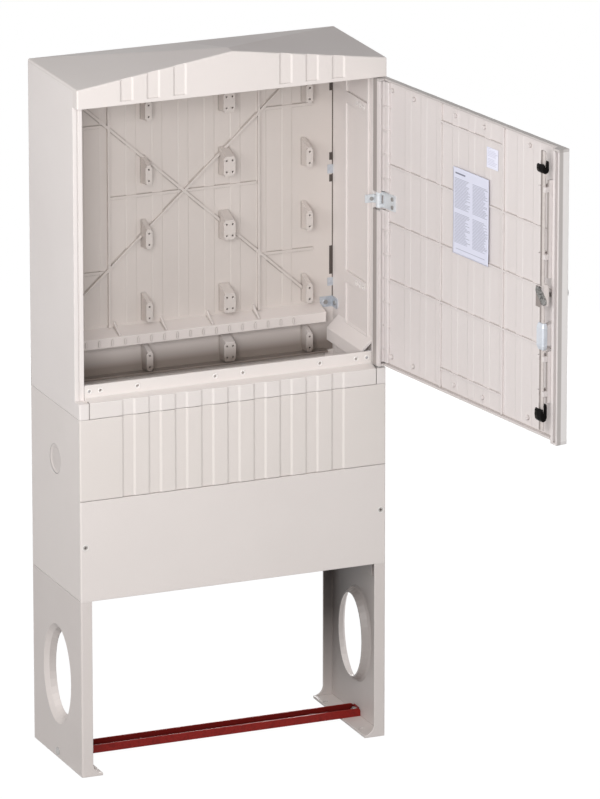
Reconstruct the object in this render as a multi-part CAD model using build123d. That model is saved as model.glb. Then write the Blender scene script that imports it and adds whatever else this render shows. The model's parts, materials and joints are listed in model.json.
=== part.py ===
from build123d import *
from math import atan2, cos, degrees, hypot, pi, sin, sqrt
import os

# Free-standing outdoor cable distribution cabinet of moulded glass-fibre polyester, door open.
# Millimetres. +X right, +Y back, +Z up. The origin is on the ground, in the middle of the footprint.

# Sides of small fixed rounds and of the cable holes
SMALL_SIDES = 12
OVAL_SIDES = 36

# Overall sizes
WIDTH = 785.0
DEPTH = 320.0
LEG_H = 440.0
LOWER_PANEL_H = 250.0
UPPER_PANEL_H = 200.0
BODY_H = 804.0
GABLE_RISE = 56.0
DOOR_OPEN = 100.0

# Moulded walls
WALL = 5.0
PANEL_T = 6.0
SEAM = 1.5
CORNER_R = 4.0
FIT = 0.5

# Flutes on the front, sill, fascia, door and back
FLUTE_COUNT = 9
FLUTE_PITCH = 67.0
FLUTE_W = 34.0
FLUTE_DEPTH = 2.5
FLUTE_SLOPE = 4.5
BARE_FLUTES = 3

# Legs
FLANGE_W = 28.0
TOE_W = 53.0
TOE_T = 6.0
CABLE_HOLE_W = 180.0
CABLE_HOLE_H = 250.0
CABLE_HOLE_Z = 212.0
COLLAR_D = 24.0
COLLAR_NARROW = 20.0
COLLAR_T = 4.0
TONGUE_W = 200.0
TONGUE_H = 50.0
FOOT_HOLE_R = 6.5
FOOT_HOLE_SPACING = 220.0
LEG_SCREW_R = 4.0
LEG_SCREW_SPACING = 140.0

# Anchor bar
BAR_D = 45.0
BAR_H = 20.0
BAR_T = 3.0
BAR_CORNER_R = 8.0
BOLT_R = 5.0

# Plinth
KNOCKOUT_R = 37.0
KNOCKOUT_DROP = 138.0
KNOCKOUT_DEPTH = 3.0
KNOCKOUT_TAPER = 9.0
SCREW_INSET = 13.0
SCREW_RISE = 135.0
SCREW_R = 3.0

# Cabinet openings and sills
SILL_RISE = 40.0
LEDGE_RISE = 6.0
UPSTAND_H = 30.0
SILL_FOOT = 45.0
FOOT_W = 24.0
JAMB_W = 23.5
JAMB_GROOVE_W = 4.0
JAMB_GROOVE_D = 1.5
FASCIA_H = 46.0
FASCIA_BORDER = 9.0
EAVE_RIM = 8.0
RIDGE_L = 35.0
LIP_T = 4.0
LIP_DROP = 8.0
REAR_RISE = 45.0
REAR_LEDGE = 42.0
REAR_LIP_T = 4.0
REAR_LIP_H = 24.0
REAR_FALL = 14.0
REAR_FOOT = 30.0
TICK_W = 3.0
TICK_D = 2.0
TICK_H = 14.0
GUSSET_PITCH = 120.0
GUSSET_COUNT = 4
GUSSET_T = 4.0
GUSSET_H = 14.0
GUSSET_TIP = 5.0
RAIL_W = 30.0
RAIL_T = 5.0
RAIL_SLOPE = 30.0
RAIL_RISE = 20.0
RAIL_DROP = 30.0
SILL_HOLE_R = 3.2
SILL_HOLE_INSETS = (37.0, 65.0, 159.0, 357.0)

# Ribs and screw bosses inside the back
RIB_W = 6.0
RIB_H = 8.0
RIB_X = 193.0
CROSS_RISE = 440.0
CROSS_SLOPE = 0.9
CROSS_EDGE = 52.5
SIDE_RIB_RISES = (259.0, 620.0)
BOSS_EDGE = 76.5
BOSS_COLUMNS = 4
DOUBLE_COLUMN = 2
BOSS_ROWS = (134.0, 316.0, 474.0, 632.0)
SILL_BOSS_RISE = 12.0
BOSS_W = 17.0
DOUBLE_BOSS_W = 30.0
BOSS_D = 40.0
BOSS_H = 48.0
BOSS_PEAK = 16.0
BOSS_BODY_INSET = 3.0
BOSS_PAD_T = 6.0
BOSS_PAD_R = 6.0
BOSS_HOLE_R = 2.6
BOSS_HOLE_DEPTH = 22.0
BOSS_HOLE_EDGE = 10.0

# Beads and pads inside the side walls
BEAD_W = 6.0
BEAD_H = 5.0
BEAD_Y = 66.0
BEAD_LOW = 90.0
BEAD_HIGH = 40.0
PAD_H = 28.0
PAD_HOLE_R = 4.0
PAD_HOLE_PITCH = 21.0
PAD_RISES = (208.0, 654.0)

# Corner clamps
CLAMP_T = 3.0
CLAMP_H = 26.0
CLAMP_REACH = 34.0
CLAMP_SCREW_R = 6.0
CLAMP_SCREW_H = 3.0

# Door leaf
DOOR_T = 28.0
DOOR_GAP = 1.0
DOOR_CLEAR = 2.0
SKIN = 5.0
RIM = 5.0
LEVEL_RIM_D = 14.0
HINGE_FLANGE = 24.0
CHANNEL_W = 16.0
CHANNEL_WALL = 4.0
CHANNEL_FLANGE = 9.0
DOOR_RIB_W = 4.0
DOOR_RIB_H = 5.0
DOOR_RIB_US = (255.0, 515.0)
DOOR_RIB_DROPS = (210.0, 352.0, 493.0)
SHORT_RIB_INSET = 52.0
DOOR_BOSS_R = 5.0
DOOR_BOSS_H = 7.0
DOOR_BOSS_US = (45.0, 137.0, 312.0, 433.0, 620.0)
DOOR_BOSS_INSET = 26.0

# Hinges
PIN_R = 5.0
PIN_SEAT = 14.0
PIN_FIT = 0.05
PIN_BOSS_R = 11.0
PIN_BOSS_H = 18.0
COLLAR_R = 9.0
MID_HINGE_RISE = 407.0
KNUCKLE_R = 7.5
KNUCKLE_H = 20.0
STRAP_KNUCKLE_H = 9.0
KNUCKLE_GAP = 0.4
MID_PIN_R = 3.0
BRACKET_T = 3.0
BRACKET_REACH = 30.0
STRAP_T = 3.0
STRAP_REACH = 60.0
NOTCH_CLEAR = 3.0
SMALL_SCREW_R = 5.0
SMALL_SCREW_H = 2.5

# Lock, seen with the door shut
LOCK_INSET = 42.5
ROD_STAND = 39.0
ROD_W = 16.0
ROD_T = 3.0
CAM_R = 16.0
CAM_T = 4.0
CAM_W = 18.0
CAM_PIN_R = 3.0
SLOT_CLEAR = 0.8
ROD_HEAD_W = 18.5
ROD_HEAD_GAP = 6.5
ROD_HEAD_END = 8.0
ROD_NECK = 22.0
SPINDLE_R = 6.0
SPINDLE_SQUARE = 8.0
SPINDLE_HEAD_R = 14.0
SPINDLE_HEAD_T = 14.0
GLIDE_W = 26.0
GLIDE_H = 26.0
GLIDE_BACK = 5.0
GLIDE_PRONG = 16.0
GLIDE_NOTCH = 9.0
GLIDE_NECK_R = 4.0
GLIDE_END_GAP = 1.5
ROD_FIT = 0.3
GUIDE_W = 30.0
GUIDE_T = 12.0
GUIDE_TOP = 3.0
GUIDE_LEG = 6.0
GUIDE_FROM_GLIDE = 55.0
UPPER_GUIDE_RISE = 95.0
LOWER_GUIDE_DROP = 150.0
HANDLE_BASE_W = 38.0
HANDLE_BASE_T = 7.0
HANDLE_BASE_ABOVE = 26.0
HANDLE_BASE_BELOW = 132.0
CYLINDER_DROP = 97.0
CYLINDER_R = 8.5
HOUSING_W = 28.0
HOUSING_H = 64.0
HOUSING_T = 45.0
LEVER_L = 122.0
LEVER_W = 24.0
LEVER_T = 10.0
LEVER_ROOT_W = 10.0
LEVER_PIN_R = 2.5
LEVER_ROOT_R = 5.5
BASE_SCREW_ZS = (17.0, -45.0)

# Paper on the door
SHEET_W = 148.0
SHEET_H = 210.0
SHEET_T = 0.5
SHEET_U = 387.0
SHEET_DROP = 251.0
LABEL_W = 48.0
LABEL_H = 50.0
LABEL_BESIDE_RIB = 22.0
LABEL_BELOW_RIB = 15.0

# Places worked out from the sizes above
LEFT = -WIDTH / 2
RIGHT = WIDTH / 2
FRONT = -DEPTH / 2
BACK = DEPTH / 2
PLINTH_H = LEG_H + LOWER_PANEL_H + UPPER_PANEL_H
EAVE_Z = PLINTH_H + BODY_H
APEX_Z = EAVE_Z + GABLE_RISE
WALL_TOP = EAVE_Z - EAVE_RIM
JAMB_Y = FRONT + DOOR_T + DOOR_GAP
SILL_Z = PLINTH_H + SILL_RISE
UPSTAND_Z = SILL_Z + LEDGE_RISE + UPSTAND_H
REAR_SILL_Z = UPSTAND_Z + REAR_RISE
FASCIA_Z = EAVE_Z - FASCIA_H
HINGE_R = DOOR_T / 2
HINGE_X = RIGHT - HINGE_R
HINGE_Y = FRONT + HINGE_R
DOOR_LEFT = LEFT + DOOR_GAP
DOOR_BACK = FRONT + DOOR_T
DOOR_Z0 = SILL_Z + LEDGE_RISE + DOOR_CLEAR
DOOR_Z1 = FASCIA_Z - DOOR_CLEAR
SKIN_Y = FRONT + SKIN
MID_HINGE_Z = DOOR_Z0 + MID_HINGE_RISE
LOCK_X = LEFT + LOCK_INSET
LOCK_Z = (DOOR_Z0 + DOOR_Z1) / 2
ROD_Y0 = FRONT + ROD_STAND + FIT * 4
ROD_Y1 = ROD_Y0 + ROD_T
CAM_Y0 = ROD_Y1 + FIT
CAM_Y1 = CAM_Y0 + CAM_T
BASE_Y = FRONT - HANDLE_BASE_T
HEAD_Y0 = BASE_Y - ROD_FIT - SPINDLE_HEAD_T
HEAD_Y1 = BASE_Y - ROD_FIT
LEVER_PIN_Y = HEAD_Y0 + SPINDLE_HEAD_T / 2
UPPER_ROD_END = FASCIA_Z - LIP_DROP - DOOR_CLEAR
LOWER_ROD_END = UPSTAND_Z + DOOR_CLEAR
ROD_TRAVEL = CAM_R * sqrt(2)
GLIDE_FROM_END = ROD_TRAVEL + GLIDE_H / 2 + GLIDE_END_GAP - DOOR_CLEAR
CROSS_REACH = RIGHT - WALL - CROSS_EDGE
BOSS_REACH = RIGHT - WALL - BOSS_EDGE
FOOT_HOLE_X = RIGHT - (FLANGE_W + TOE_W) / 2
BOLT_Z = TOE_T + BAR_H / 2


def block(x0, x1, y0, y1, z0, z1):
    """Box between two corners."""
    size = Box(x1 - x0, y1 - y0, z1 - z0)
    return Pos((x0 + x1) / 2, (y0 + y1) / 2, (z0 + z1) / 2) * size


def bar_x(y, z, radius, x0, x1):
    """Round bar along X."""
    return Pos((x0 + x1) / 2, y, z) * Rot(0, 90, 0) * Cylinder(radius, x1 - x0)


def bar_y(x, z, radius, y0, y1):
    """Round bar along Y."""
    return Pos(x, (y0 + y1) / 2, z) * Rot(90, 0, 0) * Cylinder(radius, y1 - y0)


def bar_z(x, y, radius, z0, z1):
    """Round bar along Z."""
    return Pos(x, y, (z0 + z1) / 2) * Cylinder(radius, z1 - z0)


def prism_x(y, z, radius, x0, x1, sides=SMALL_SIDES):
    """Many-sided bar along X, for small fixed screws, nuts and their holes."""
    plane = Plane(origin=(x0, y, z), x_dir=(0, 1, 0), z_dir=(1, 0, 0))
    return extrude(plane * RegularPolygon(radius, sides), x1 - x0)


def prism_y(x, z, radius, y0, y1, sides=SMALL_SIDES):
    """Many-sided bar along Y, for small fixed screws, moulded bosses and their holes."""
    plane = Plane(origin=(x, y0, z), x_dir=(1, 0, 0), z_dir=(0, 1, 0))
    return extrude(plane * RegularPolygon(radius, sides), y1 - y0)


def from_plan(points, z0, z1):
    """Outline in X and Y, raised along Z."""
    outline = make_face(Polyline(*points, close=True))
    return extrude(Plane.XY.offset(z0) * outline, z1 - z0)


def from_side(points, x0, x1):
    """Outline in Y and Z, drawn out along X."""
    outline = make_face(Polyline(*points, close=True))
    return extrude(Plane.YZ.offset(x0) * outline, x1 - x0)


def from_front(points, y0, y1):
    """Outline in X and Z, drawn out along Y."""
    outline = make_face(Polyline(*points, close=True))
    face_plane = Plane(origin=(0, y1, 0), x_dir=(1, 0, 0), z_dir=(0, -1, 0))
    return extrude(face_plane * outline, y1 - y0)


def mirrored(shape):
    """The same piece on the other side of the cabinet."""
    return mirror(shape, about=Plane.YZ)


def on_open_door(shape):
    """Turn a piece drawn on the shut door to where the open door holds it."""
    return Pos(HINGE_X, HINGE_Y, 0) * Rot(0, 0, DOOR_OPEN) * Pos(-HINGE_X, -HINGE_Y, 0) * shape


def round_uprights(shape, *xs):
    """Round the upright outer corners that stand at the given X."""
    corners = []
    for edge in shape.edges().filter_by(Axis.Z):
        at_x = any(abs(edge.center().X - x) < FIT / 10 for x in xs)
        at_y = any(abs(edge.center().Y - y) < FIT / 10 for y in (FRONT, BACK))
        if at_x and at_y:
            corners.append(edge)
    return fillet(corners, CORNER_R)


def flute_cuts(face_y, inward, z0, z1, bare=0):
    """Shallow grooves with sloping sides across a face, leaving the middle ones out."""
    cuts = []
    middle = (FLUTE_COUNT - 1) / 2
    half = FLUTE_W / 2
    for i in range(FLUTE_COUNT):
        if abs(i - middle) < bare / 2:
            continue
        x = (i - middle) * FLUTE_PITCH
        top = half + FLUTE_SLOPE / FLUTE_DEPTH
        low = half - FLUTE_SLOPE
        y0 = face_y - inward
        y1 = face_y + inward * FLUTE_DEPTH
        points = [(x - top, y0), (x + top, y0), (x + low, y1), (x - low, y1)]
        cuts.append(from_plan(points, z0, z1))
    return cuts


def cable_hole_sections(grow):
    """Many-sided ovals that narrow inwards, for the flared collar of a cable hole."""
    turns = [2 * pi * i / OVAL_SIDES for i in range(OVAL_SIDES)]
    sections = []
    for share, depth in ((0.0, 0.0), (0.62, COLLAR_D * 0.4), (1.0, COLLAR_D)):
        half_w = CABLE_HOLE_W / 2 - COLLAR_NARROW * share + grow
        half_h = CABLE_HOLE_H / 2 - COLLAR_NARROW * share + grow
        plane = Plane(origin=(LEFT + depth, 0, CABLE_HOLE_Z), x_dir=(0, 1, 0), z_dir=(1, 0, 0))
        oval = [(half_w * cos(turn), half_h * sin(turn)) for turn in turns]
        sections.append(plane * make_face(Polyline(*oval, close=True)))
    return sections


def build_left_leg():
    wall = block(LEFT, LEFT + WALL, FRONT, BACK, 0, LEG_H)
    toe = block(LEFT, LEFT + TOE_W, FRONT, BACK, 0, TOE_T)
    tongue_y = TONGUE_W / 2
    tongue = block(LEFT + WALL, LEFT + 2 * WALL, -tongue_y, tongue_y, LEG_H - TONGUE_H, LEG_H + TONGUE_H)
    pieces = [toe, tongue, loft(cable_hole_sections(COLLAR_T), ruled=True)]
    flare_r = TOE_W - FLANGE_W
    for y0 in (FRONT, BACK - WALL):
        y1 = y0 + WALL
        pieces.append(block(LEFT, LEFT + FLANGE_W, y0, y1, 0, LEG_H))
        corner = block(LEFT + FLANGE_W, LEFT + TOE_W, y0, y1, TOE_T, TOE_T + flare_r)
        pieces.append(corner - bar_y(LEFT + TOE_W, TOE_T + flare_r, flare_r, y0, y1))
    leg = round_uprights(wall + pieces, LEFT)
    cuts = [loft(cable_hole_sections(0), ruled=True)]
    cuts.append(bar_x(0, BOLT_Z, BOLT_R + FIT, LEFT - 1, LEFT + WALL + 1))
    for side in (-1, 1):
        y = side * FOOT_HOLE_SPACING / 2
        cuts.append(bar_z(-FOOT_HOLE_X, y, FOOT_HOLE_R, -1, TOE_T + 1))
        y = side * LEG_SCREW_SPACING / 2
        cuts.append(prism_x(y, LEG_H + TONGUE_H / 2, LEG_SCREW_R + FIT, LEFT + WALL, LEFT + 2 * WALL))
    return leg - cuts


def build_leg_screws():
    screws = []
    z = LEG_H + TONGUE_H / 2
    for side in (-1, 1):
        y = side * LEG_SCREW_SPACING / 2
        shank = prism_x(y, z, LEG_SCREW_R, LEFT + WALL / 2, LEFT + 2 * WALL)
        head = prism_x(y, z, 2 * LEG_SCREW_R, LEFT + 2 * WALL, LEFT + 3 * WALL, 6)
        screws.append(shank + head)
    return Compound(screws + [mirrored(screw) for screw in screws])


def build_anchor_bar():
    x0 = LEFT + WALL + FIT
    x1 = RIGHT - WALL - FIT
    half = BAR_D / 2
    top = TOE_T + BAR_H
    bar = block(x0, x1, -half, half, TOE_T, TOE_T + BAR_T)
    tabs = []
    for y0 in (-half, half - BAR_T):
        flange = block(x0, x1, y0, y0 + BAR_T, TOE_T, top)
        for x, inward in ((x0, 1), (x1, -1)):
            centre_x = x + inward * BAR_CORNER_R
            corner = block(min(x, centre_x), max(x, centre_x), y0, y0 + BAR_T, top - BAR_CORNER_R, top)
            flange -= corner - bar_y(centre_x, top - BAR_CORNER_R, BAR_CORNER_R, y0, y0 + BAR_T)
        tabs.append(flange)
    for x in (x0, x1 - BAR_T):
        tab = block(x, x + BAR_T, -half + BAR_CORNER_R, half - BAR_CORNER_R, TOE_T, top)
        tabs.append(tab - bar_x(0, BOLT_Z, BOLT_R + FIT, x, x + BAR_T))
    return bar + tabs


def build_anchor_bolts():
    head = bar_x(0, BOLT_Z, 2 * BOLT_R, LEFT - BOLT_R / 2, LEFT)
    head = chamfer(head.edges().filter_by(GeomType.CIRCLE).sort_by(Axis.X)[0], BOLT_R / 2 - FIT)
    bolt = head + bar_x(0, BOLT_Z, BOLT_R, LEFT, LEFT + WALL + FIT + BAR_T + 2.4 * BOLT_R)
    return Compound([bolt, mirrored(bolt)])


def build_anchor_nuts():
    x0 = LEFT + WALL + FIT + BAR_T
    nut = prism_x(0, BOLT_Z, 1.6 * BOLT_R, x0, x0 + 1.6 * BOLT_R, 6)
    nut -= bar_x(0, BOLT_Z, BOLT_R + PIN_FIT, x0, x0 + 1.6 * BOLT_R)
    return Compound([nut, mirrored(nut)])


def build_plinth_left_side():
    y0 = FRONT + PANEL_T
    y1 = BACK - PANEL_T
    wall = block(LEFT, LEFT + WALL, y0, y1, LEG_H, PLINTH_H)
    flanges = [block(LEFT, LEFT + FLANGE_W, y, y + WALL, LEG_H, PLINTH_H) for y in (y0, y1 - WALL)]
    knockout_z = PLINTH_H - KNOCKOUT_DROP
    dish = Rot(0, 90, 0) * Cone(KNOCKOUT_R, KNOCKOUT_R - KNOCKOUT_TAPER, KNOCKOUT_DEPTH)
    cuts = [Pos(LEFT + KNOCKOUT_DEPTH / 2, 0, knockout_z) * dish]
    cuts.append(block(LEFT, LEFT + SEAM, FRONT, BACK, LEG_H, LEG_H + SEAM))
    screw_z = LEG_H + SCREW_RISE
    cuts.append(prism_y(LEFT + SCREW_INSET, screw_z, SCREW_R + FIT, y0 - 1, y0 + WALL + 1))
    cuts.append(prism_y(LEFT + SCREW_INSET, screw_z, SCREW_R + FIT, y1 - WALL - 1, y1 + 1))
    for side in (-1, 1):
        y = side * LEG_SCREW_SPACING / 2
        cuts.append(prism_x(y, LEG_H + TONGUE_H / 2, LEG_SCREW_R + FIT, LEFT + WALL / 2, LEFT + WALL))
    return wall + flanges - cuts


def build_front_upper():
    z0 = LEG_H + LOWER_PANEL_H
    panel = round_uprights(block(LEFT, RIGHT, FRONT, FRONT + PANEL_T, z0, PLINTH_H), LEFT, RIGHT)
    return panel - flute_cuts(FRONT, 1, z0 - 1, PLINTH_H + 1)


def build_front_lower():
    z1 = LEG_H + LOWER_PANEL_H - SEAM
    panel = round_uprights(block(LEFT, RIGHT, FRONT, FRONT + PANEL_T, LEG_H, z1), LEFT, RIGHT)
    for x in (LEFT + SCREW_INSET, RIGHT - SCREW_INSET):
        panel -= prism_y(x, LEG_H + SCREW_RISE, SCREW_R + FIT, FRONT, FRONT + PANEL_T)
        panel -= prism_y(x, LEG_H + SCREW_RISE, 2 * SCREW_R + FIT, FRONT, FRONT + PANEL_T / 2)
    return panel


def build_panel_screws():
    z = LEG_H + SCREW_RISE
    y1 = FRONT + PANEL_T / 2
    screws = []
    for x in (LEFT + SCREW_INSET, RIGHT - SCREW_INSET):
        head = prism_y(x, z, 2 * SCREW_R, FRONT + FIT, y1)
        screws.append(head + prism_y(x, z, SCREW_R, y1, FRONT + PANEL_T + WALL + PANEL_T))
    rear = [mirror(screw, about=Plane.XZ) for screw in screws]
    return Compound(screws + rear)


def build_side_rail():
    """Sloping rail along the foot of a side wall, between its two clamps."""
    inner = LEFT + WALL
    edge = inner + RAIL_W
    top = UPSTAND_Z + RAIL_RISE
    bend = top - RAIL_SLOPE
    low = bend - RAIL_DROP
    points = [
        (inner, top), (edge, bend), (edge, low), (edge - RAIL_T, low), (edge - RAIL_T, bend - RAIL_T / 2),
        (inner, top - 2 * RAIL_T),
    ]
    y0 = JAMB_Y + WALL + CLAMP_REACH + FIT
    return from_front(points, y0, BACK - WALL - CLAMP_REACH - FIT)


def build_left_wall():
    wall = block(LEFT, LEFT + WALL, JAMB_Y, BACK - WALL, PLINTH_H, WALL_TOP)
    jamb = block(LEFT, LEFT + JAMB_W, JAMB_Y, JAMB_Y + WALL, PLINTH_H, WALL_TOP)
    foot = round_uprights(block(LEFT, LEFT + FOOT_W, FRONT, JAMB_Y, PLINTH_H, SILL_Z), LEFT)
    hollow = block(LEFT + WALL, LEFT + FOOT_W - WALL, FRONT + WALL, JAMB_Y - WALL, PLINTH_H - 1, SILL_Z - WALL)
    pieces = [jamb, foot - hollow, build_side_rail()]
    z0 = PLINTH_H + BEAD_LOW
    z1 = WALL_TOP - BEAD_HIGH
    inner = LEFT + WALL
    for y in (-BEAD_Y, BEAD_Y):
        pieces.append(block(inner, inner + BEAD_H, y - BEAD_W / 2, y + BEAD_W / 2, z0, z1))
    for z in (z0, z1):
        pieces.append(block(inner, inner + BEAD_H, -BEAD_Y, BEAD_Y, z - BEAD_W / 2, z + BEAD_W / 2))
    holes = []
    for rise in PAD_RISES:
        z = PLINTH_H + rise
        pieces.append(block(inner, inner + BEAD_H, -BEAD_Y, BEAD_Y, z - PAD_H / 2, z + PAD_H / 2))
        for step in (1, 2, 3):
            y = step * PAD_HOLE_PITCH - BEAD_Y
            holes.append(prism_x(y, z, PAD_HOLE_R, inner, inner + BEAD_H + 1))
    groove_x = LEFT + JAMB_W / 2
    groove_half = JAMB_GROOVE_W / 2
    holes.append(block(groove_x - groove_half, groove_x + groove_half, JAMB_Y, JAMB_Y + JAMB_GROOVE_D,
                       SILL_Z, FASCIA_Z))
    holes.append(block(LEFT, LEFT + SEAM, FRONT, BACK, PLINTH_H, PLINTH_H + SEAM))
    holes.append(block(LEFT, LEFT + FOOT_W, FRONT, FRONT + SEAM, PLINTH_H, PLINTH_H + SEAM))
    return wall + pieces - holes


def build_right_wall():
    wall = mirrored(build_left_wall())
    boss = bar_z(HINGE_X, HINGE_Y, PIN_BOSS_R, SILL_Z - PIN_BOSS_H, SILL_Z)
    boss &= block(RIGHT - FOOT_W, RIGHT, FRONT, JAMB_Y, PLINTH_H, SILL_Z)
    seat = bar_z(HINGE_X, HINGE_Y, PIN_R + PIN_FIT, SILL_Z - PIN_SEAT, SILL_Z + 1)
    return wall + boss - seat


def build_front_sill():
    z0 = PLINTH_H
    t = WALL
    points = [
        (FRONT, z0), (FRONT, SILL_Z), (JAMB_Y, SILL_Z + LEDGE_RISE), (JAMB_Y, UPSTAND_Z),
        (JAMB_Y + t, UPSTAND_Z), (JAMB_Y + t, SILL_Z + LEDGE_RISE - t), (FRONT + t, SILL_Z - t),
        (FRONT + t, z0 + t), (FRONT + SILL_FOOT, z0 + t), (FRONT + SILL_FOOT, z0),
    ]
    sill = from_side(points, LEFT + FOOT_W + FIT, RIGHT - FOOT_W - FIT)
    hole_z = UPSTAND_Z - UPSTAND_H / 2
    cuts = flute_cuts(FRONT, 1, z0 - 1, SILL_Z + 1)
    cuts.append(block(LEFT, RIGHT, FRONT, FRONT + FLUTE_DEPTH + SEAM, z0, z0 + SEAM))
    for inset in SILL_HOLE_INSETS:
        for x in (LEFT + inset, RIGHT - inset):
            cuts.append(prism_y(x, hole_z, SILL_HOLE_R, JAMB_Y - 1, JAMB_Y + t + 1))
    return sill - cuts


def boss_columns():
    """X and width of each column of bosses on the back."""
    pitch = 2 * BOSS_REACH / (BOSS_COLUMNS - 1)
    columns = []
    for i in range(BOSS_COLUMNS):
        columns.append((i * pitch - BOSS_REACH, DOUBLE_BOSS_W if i == DOUBLE_COLUMN else BOSS_W))
    return columns


def boss_hole(x, z, front_y, drilled):
    """Screw hole of a boss: drilled round where a rail is bolted, six-sided where it is only moulded."""
    if drilled:
        return bar_y(x, z, BOSS_HOLE_R, front_y, front_y + BOSS_HOLE_DEPTH)
    return prism_y(x, z, BOSS_HOLE_R, front_y, front_y + BOSS_HOLE_DEPTH, 6)


def build_boss(x, z0, width, wall_y, drilled=False):
    """House-shaped screw boss on the inner face of the back, with its holes in front."""
    top = z0 + BOSS_H
    front_y = wall_y - BOSS_D
    points = [
        (wall_y, z0 - BOSS_PEAK / 4), (wall_y, top + BOSS_PEAK), (front_y + BOSS_D / 3, top + BOSS_PEAK / 3),
        (front_y, top), (front_y, z0),
    ]
    body_half = width / 2 - BOSS_BODY_INSET
    boss = from_side(points, x - body_half, x + body_half)
    pad_plane = Plane(origin=(x, front_y, z0 + BOSS_H / 2), x_dir=(1, 0, 0), z_dir=(0, 1, 0))
    pad = chamfer((pad_plane * Rectangle(width, BOSS_H)).vertices(), BOSS_PAD_R)
    boss += extrude(pad, BOSS_PAD_T)
    columns = (0,) if width == BOSS_W else (-width / 4, width / 4)
    for shift in columns:
        for z in (z0 + BOSS_HOLE_EDGE, top - BOSS_HOLE_EDGE):
            boss -= boss_hole(x + shift, z, front_y, drilled)
    return boss


def build_back_wall():
    z0 = REAR_SILL_Z
    inner = BACK - WALL
    wall = round_uprights(block(LEFT, RIGHT, inner, BACK, z0, WALL_TOP), LEFT, RIGHT)
    y0 = inner - RIB_H
    cross_z = PLINTH_H + CROSS_RISE
    pieces = [block(x - RIB_W / 2, x + RIB_W / 2, y0, inner, z0, WALL_TOP - EAVE_RIM) for x in (-RIB_X, RIB_X)]
    pieces.append(block(-RIB_X, RIB_X, y0 + RIB_H / 2, inner, cross_z - RIB_W / 2, cross_z + RIB_W / 2))
    for rise in SIDE_RIB_RISES:
        z = PLINTH_H + rise
        for x0, x1 in ((-CROSS_REACH, -RIB_X), (RIB_X, CROSS_REACH)):
            pieces.append(block(x0, x1, y0 + RIB_H / 2, inner, z - RIB_W / 2, z + RIB_W / 2))
    slant = degrees(atan2(CROSS_SLOPE, 1))
    length = 2 * CROSS_REACH * hypot(1, CROSS_SLOPE)
    for turn in (slant, -slant):
        rib = Pos(0, inner - RIB_H / 2, cross_z) * Rot(0, turn, 0) * Box(length, RIB_H, RIB_W)
        pieces.append(rib & block(LEFT, RIGHT, y0, inner, z0, WALL_TOP))
    ends = (min(BOSS_ROWS), max(BOSS_ROWS))
    for x, width in boss_columns():
        outer = abs(x) > BOSS_REACH - FIT
        pieces += [build_boss(x, PLINTH_H + rise, width, inner, outer and rise in ends) for rise in BOSS_ROWS]
    return wall + pieces - flute_cuts(BACK, -1, z0 - 1, WALL_TOP + 1)


def build_rear_sill():
    inner = BACK - WALL
    z0 = PLINTH_H
    top = REAR_SILL_Z
    ledge_x = RIGHT - WALL - CLAMP_REACH - FIT
    lip_y = inner - REAR_LEDGE
    sill = round_uprights(block(LEFT, RIGHT, inner, BACK, z0, top), LEFT, RIGHT)
    pieces = [block(LEFT + FLANGE_W, RIGHT - FLANGE_W, BACK - REAR_FOOT, inner, z0, z0 + WALL)]
    edge_z = top - REAR_FALL
    ledge = [
        (inner, top), (lip_y, edge_z), (lip_y, edge_z - REAR_LIP_H), (lip_y + REAR_LIP_T, edge_z - REAR_LIP_H),
        (lip_y + REAR_LIP_T, edge_z - WALL), (inner, top - WALL),
    ]
    pieces.append(from_side(ledge, -ledge_x, ledge_x))
    for i in range(2 * FLUTE_COUNT - 1):
        x = (i - (FLUTE_COUNT - 1)) * FLUTE_PITCH / 2
        tick_z = edge_z - WALL
        pieces.append(block(x - TICK_W / 2, x + TICK_W / 2, lip_y - TICK_D, lip_y, tick_z - TICK_H, tick_z))
    gusset = [
        (inner - FIT, top - WALL / 2), (inner - FIT, top + GUSSET_H), (lip_y + REAR_LIP_T, edge_z + GUSSET_TIP),
        (lip_y + REAR_LIP_T, edge_z - WALL / 2),
    ]
    for i in range(GUSSET_COUNT):
        x = (i - (GUSSET_COUNT - 1) / 2) * GUSSET_PITCH
        pieces.append(from_side(gusset, x - GUSSET_T / 2, x + GUSSET_T / 2))
    for x, width in boss_columns():
        pieces.append(build_boss(x, z0 + SILL_BOSS_RISE, width, inner))
    return sill + pieces


def clamp_places():
    """Right-hand clamps as the Y of the cross face, the way into the cabinet and the lowest Z."""
    rear = (BACK - WALL, -1, REAR_SILL_Z - CLAMP_H / 2)
    fore = (JAMB_Y + WALL, 1, UPSTAND_Z - CLAMP_H)
    return rear, fore


def build_corner_clamps():
    inner = RIGHT - WALL
    clamps = []
    for face_y, inward, z0 in clamp_places():
        z1 = z0 + CLAMP_H
        ys = sorted((face_y, face_y + inward * CLAMP_T))
        cross = block(inner - CLAMP_REACH, inner, ys[0], ys[1], z0, z1)
        ys = sorted((face_y, face_y + inward * CLAMP_REACH))
        clamp = cross + block(inner - CLAMP_T, inner, ys[0], ys[1], z0, z1)
        tips = [edge for edge in clamp.edges().filter_by(Axis.X) if abs(edge.center().Y - face_y) > CLAMP_T * 2]
        clamps.append(fillet(tips, CLAMP_H / 4))
    return Compound(clamps + [mirrored(clamp) for clamp in clamps])


def build_clamp_screws():
    inner = RIGHT - WALL
    screws = []
    for face_y, inward, z0 in clamp_places():
        z = z0 + CLAMP_H / 2
        y = face_y + inward * CLAMP_REACH * 0.6
        screws.append(prism_x(y, z, CLAMP_SCREW_R, inner - CLAMP_T - CLAMP_SCREW_H, inner - CLAMP_T, 6))
        ys = sorted((face_y + inward * CLAMP_T, face_y + inward * (CLAMP_T + CLAMP_SCREW_H)))
        screws.append(prism_y(inner - CLAMP_REACH * 0.6, z, CLAMP_SCREW_R, ys[0], ys[1], 6))
    return Compound(screws + [mirrored(screw) for screw in screws])


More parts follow.
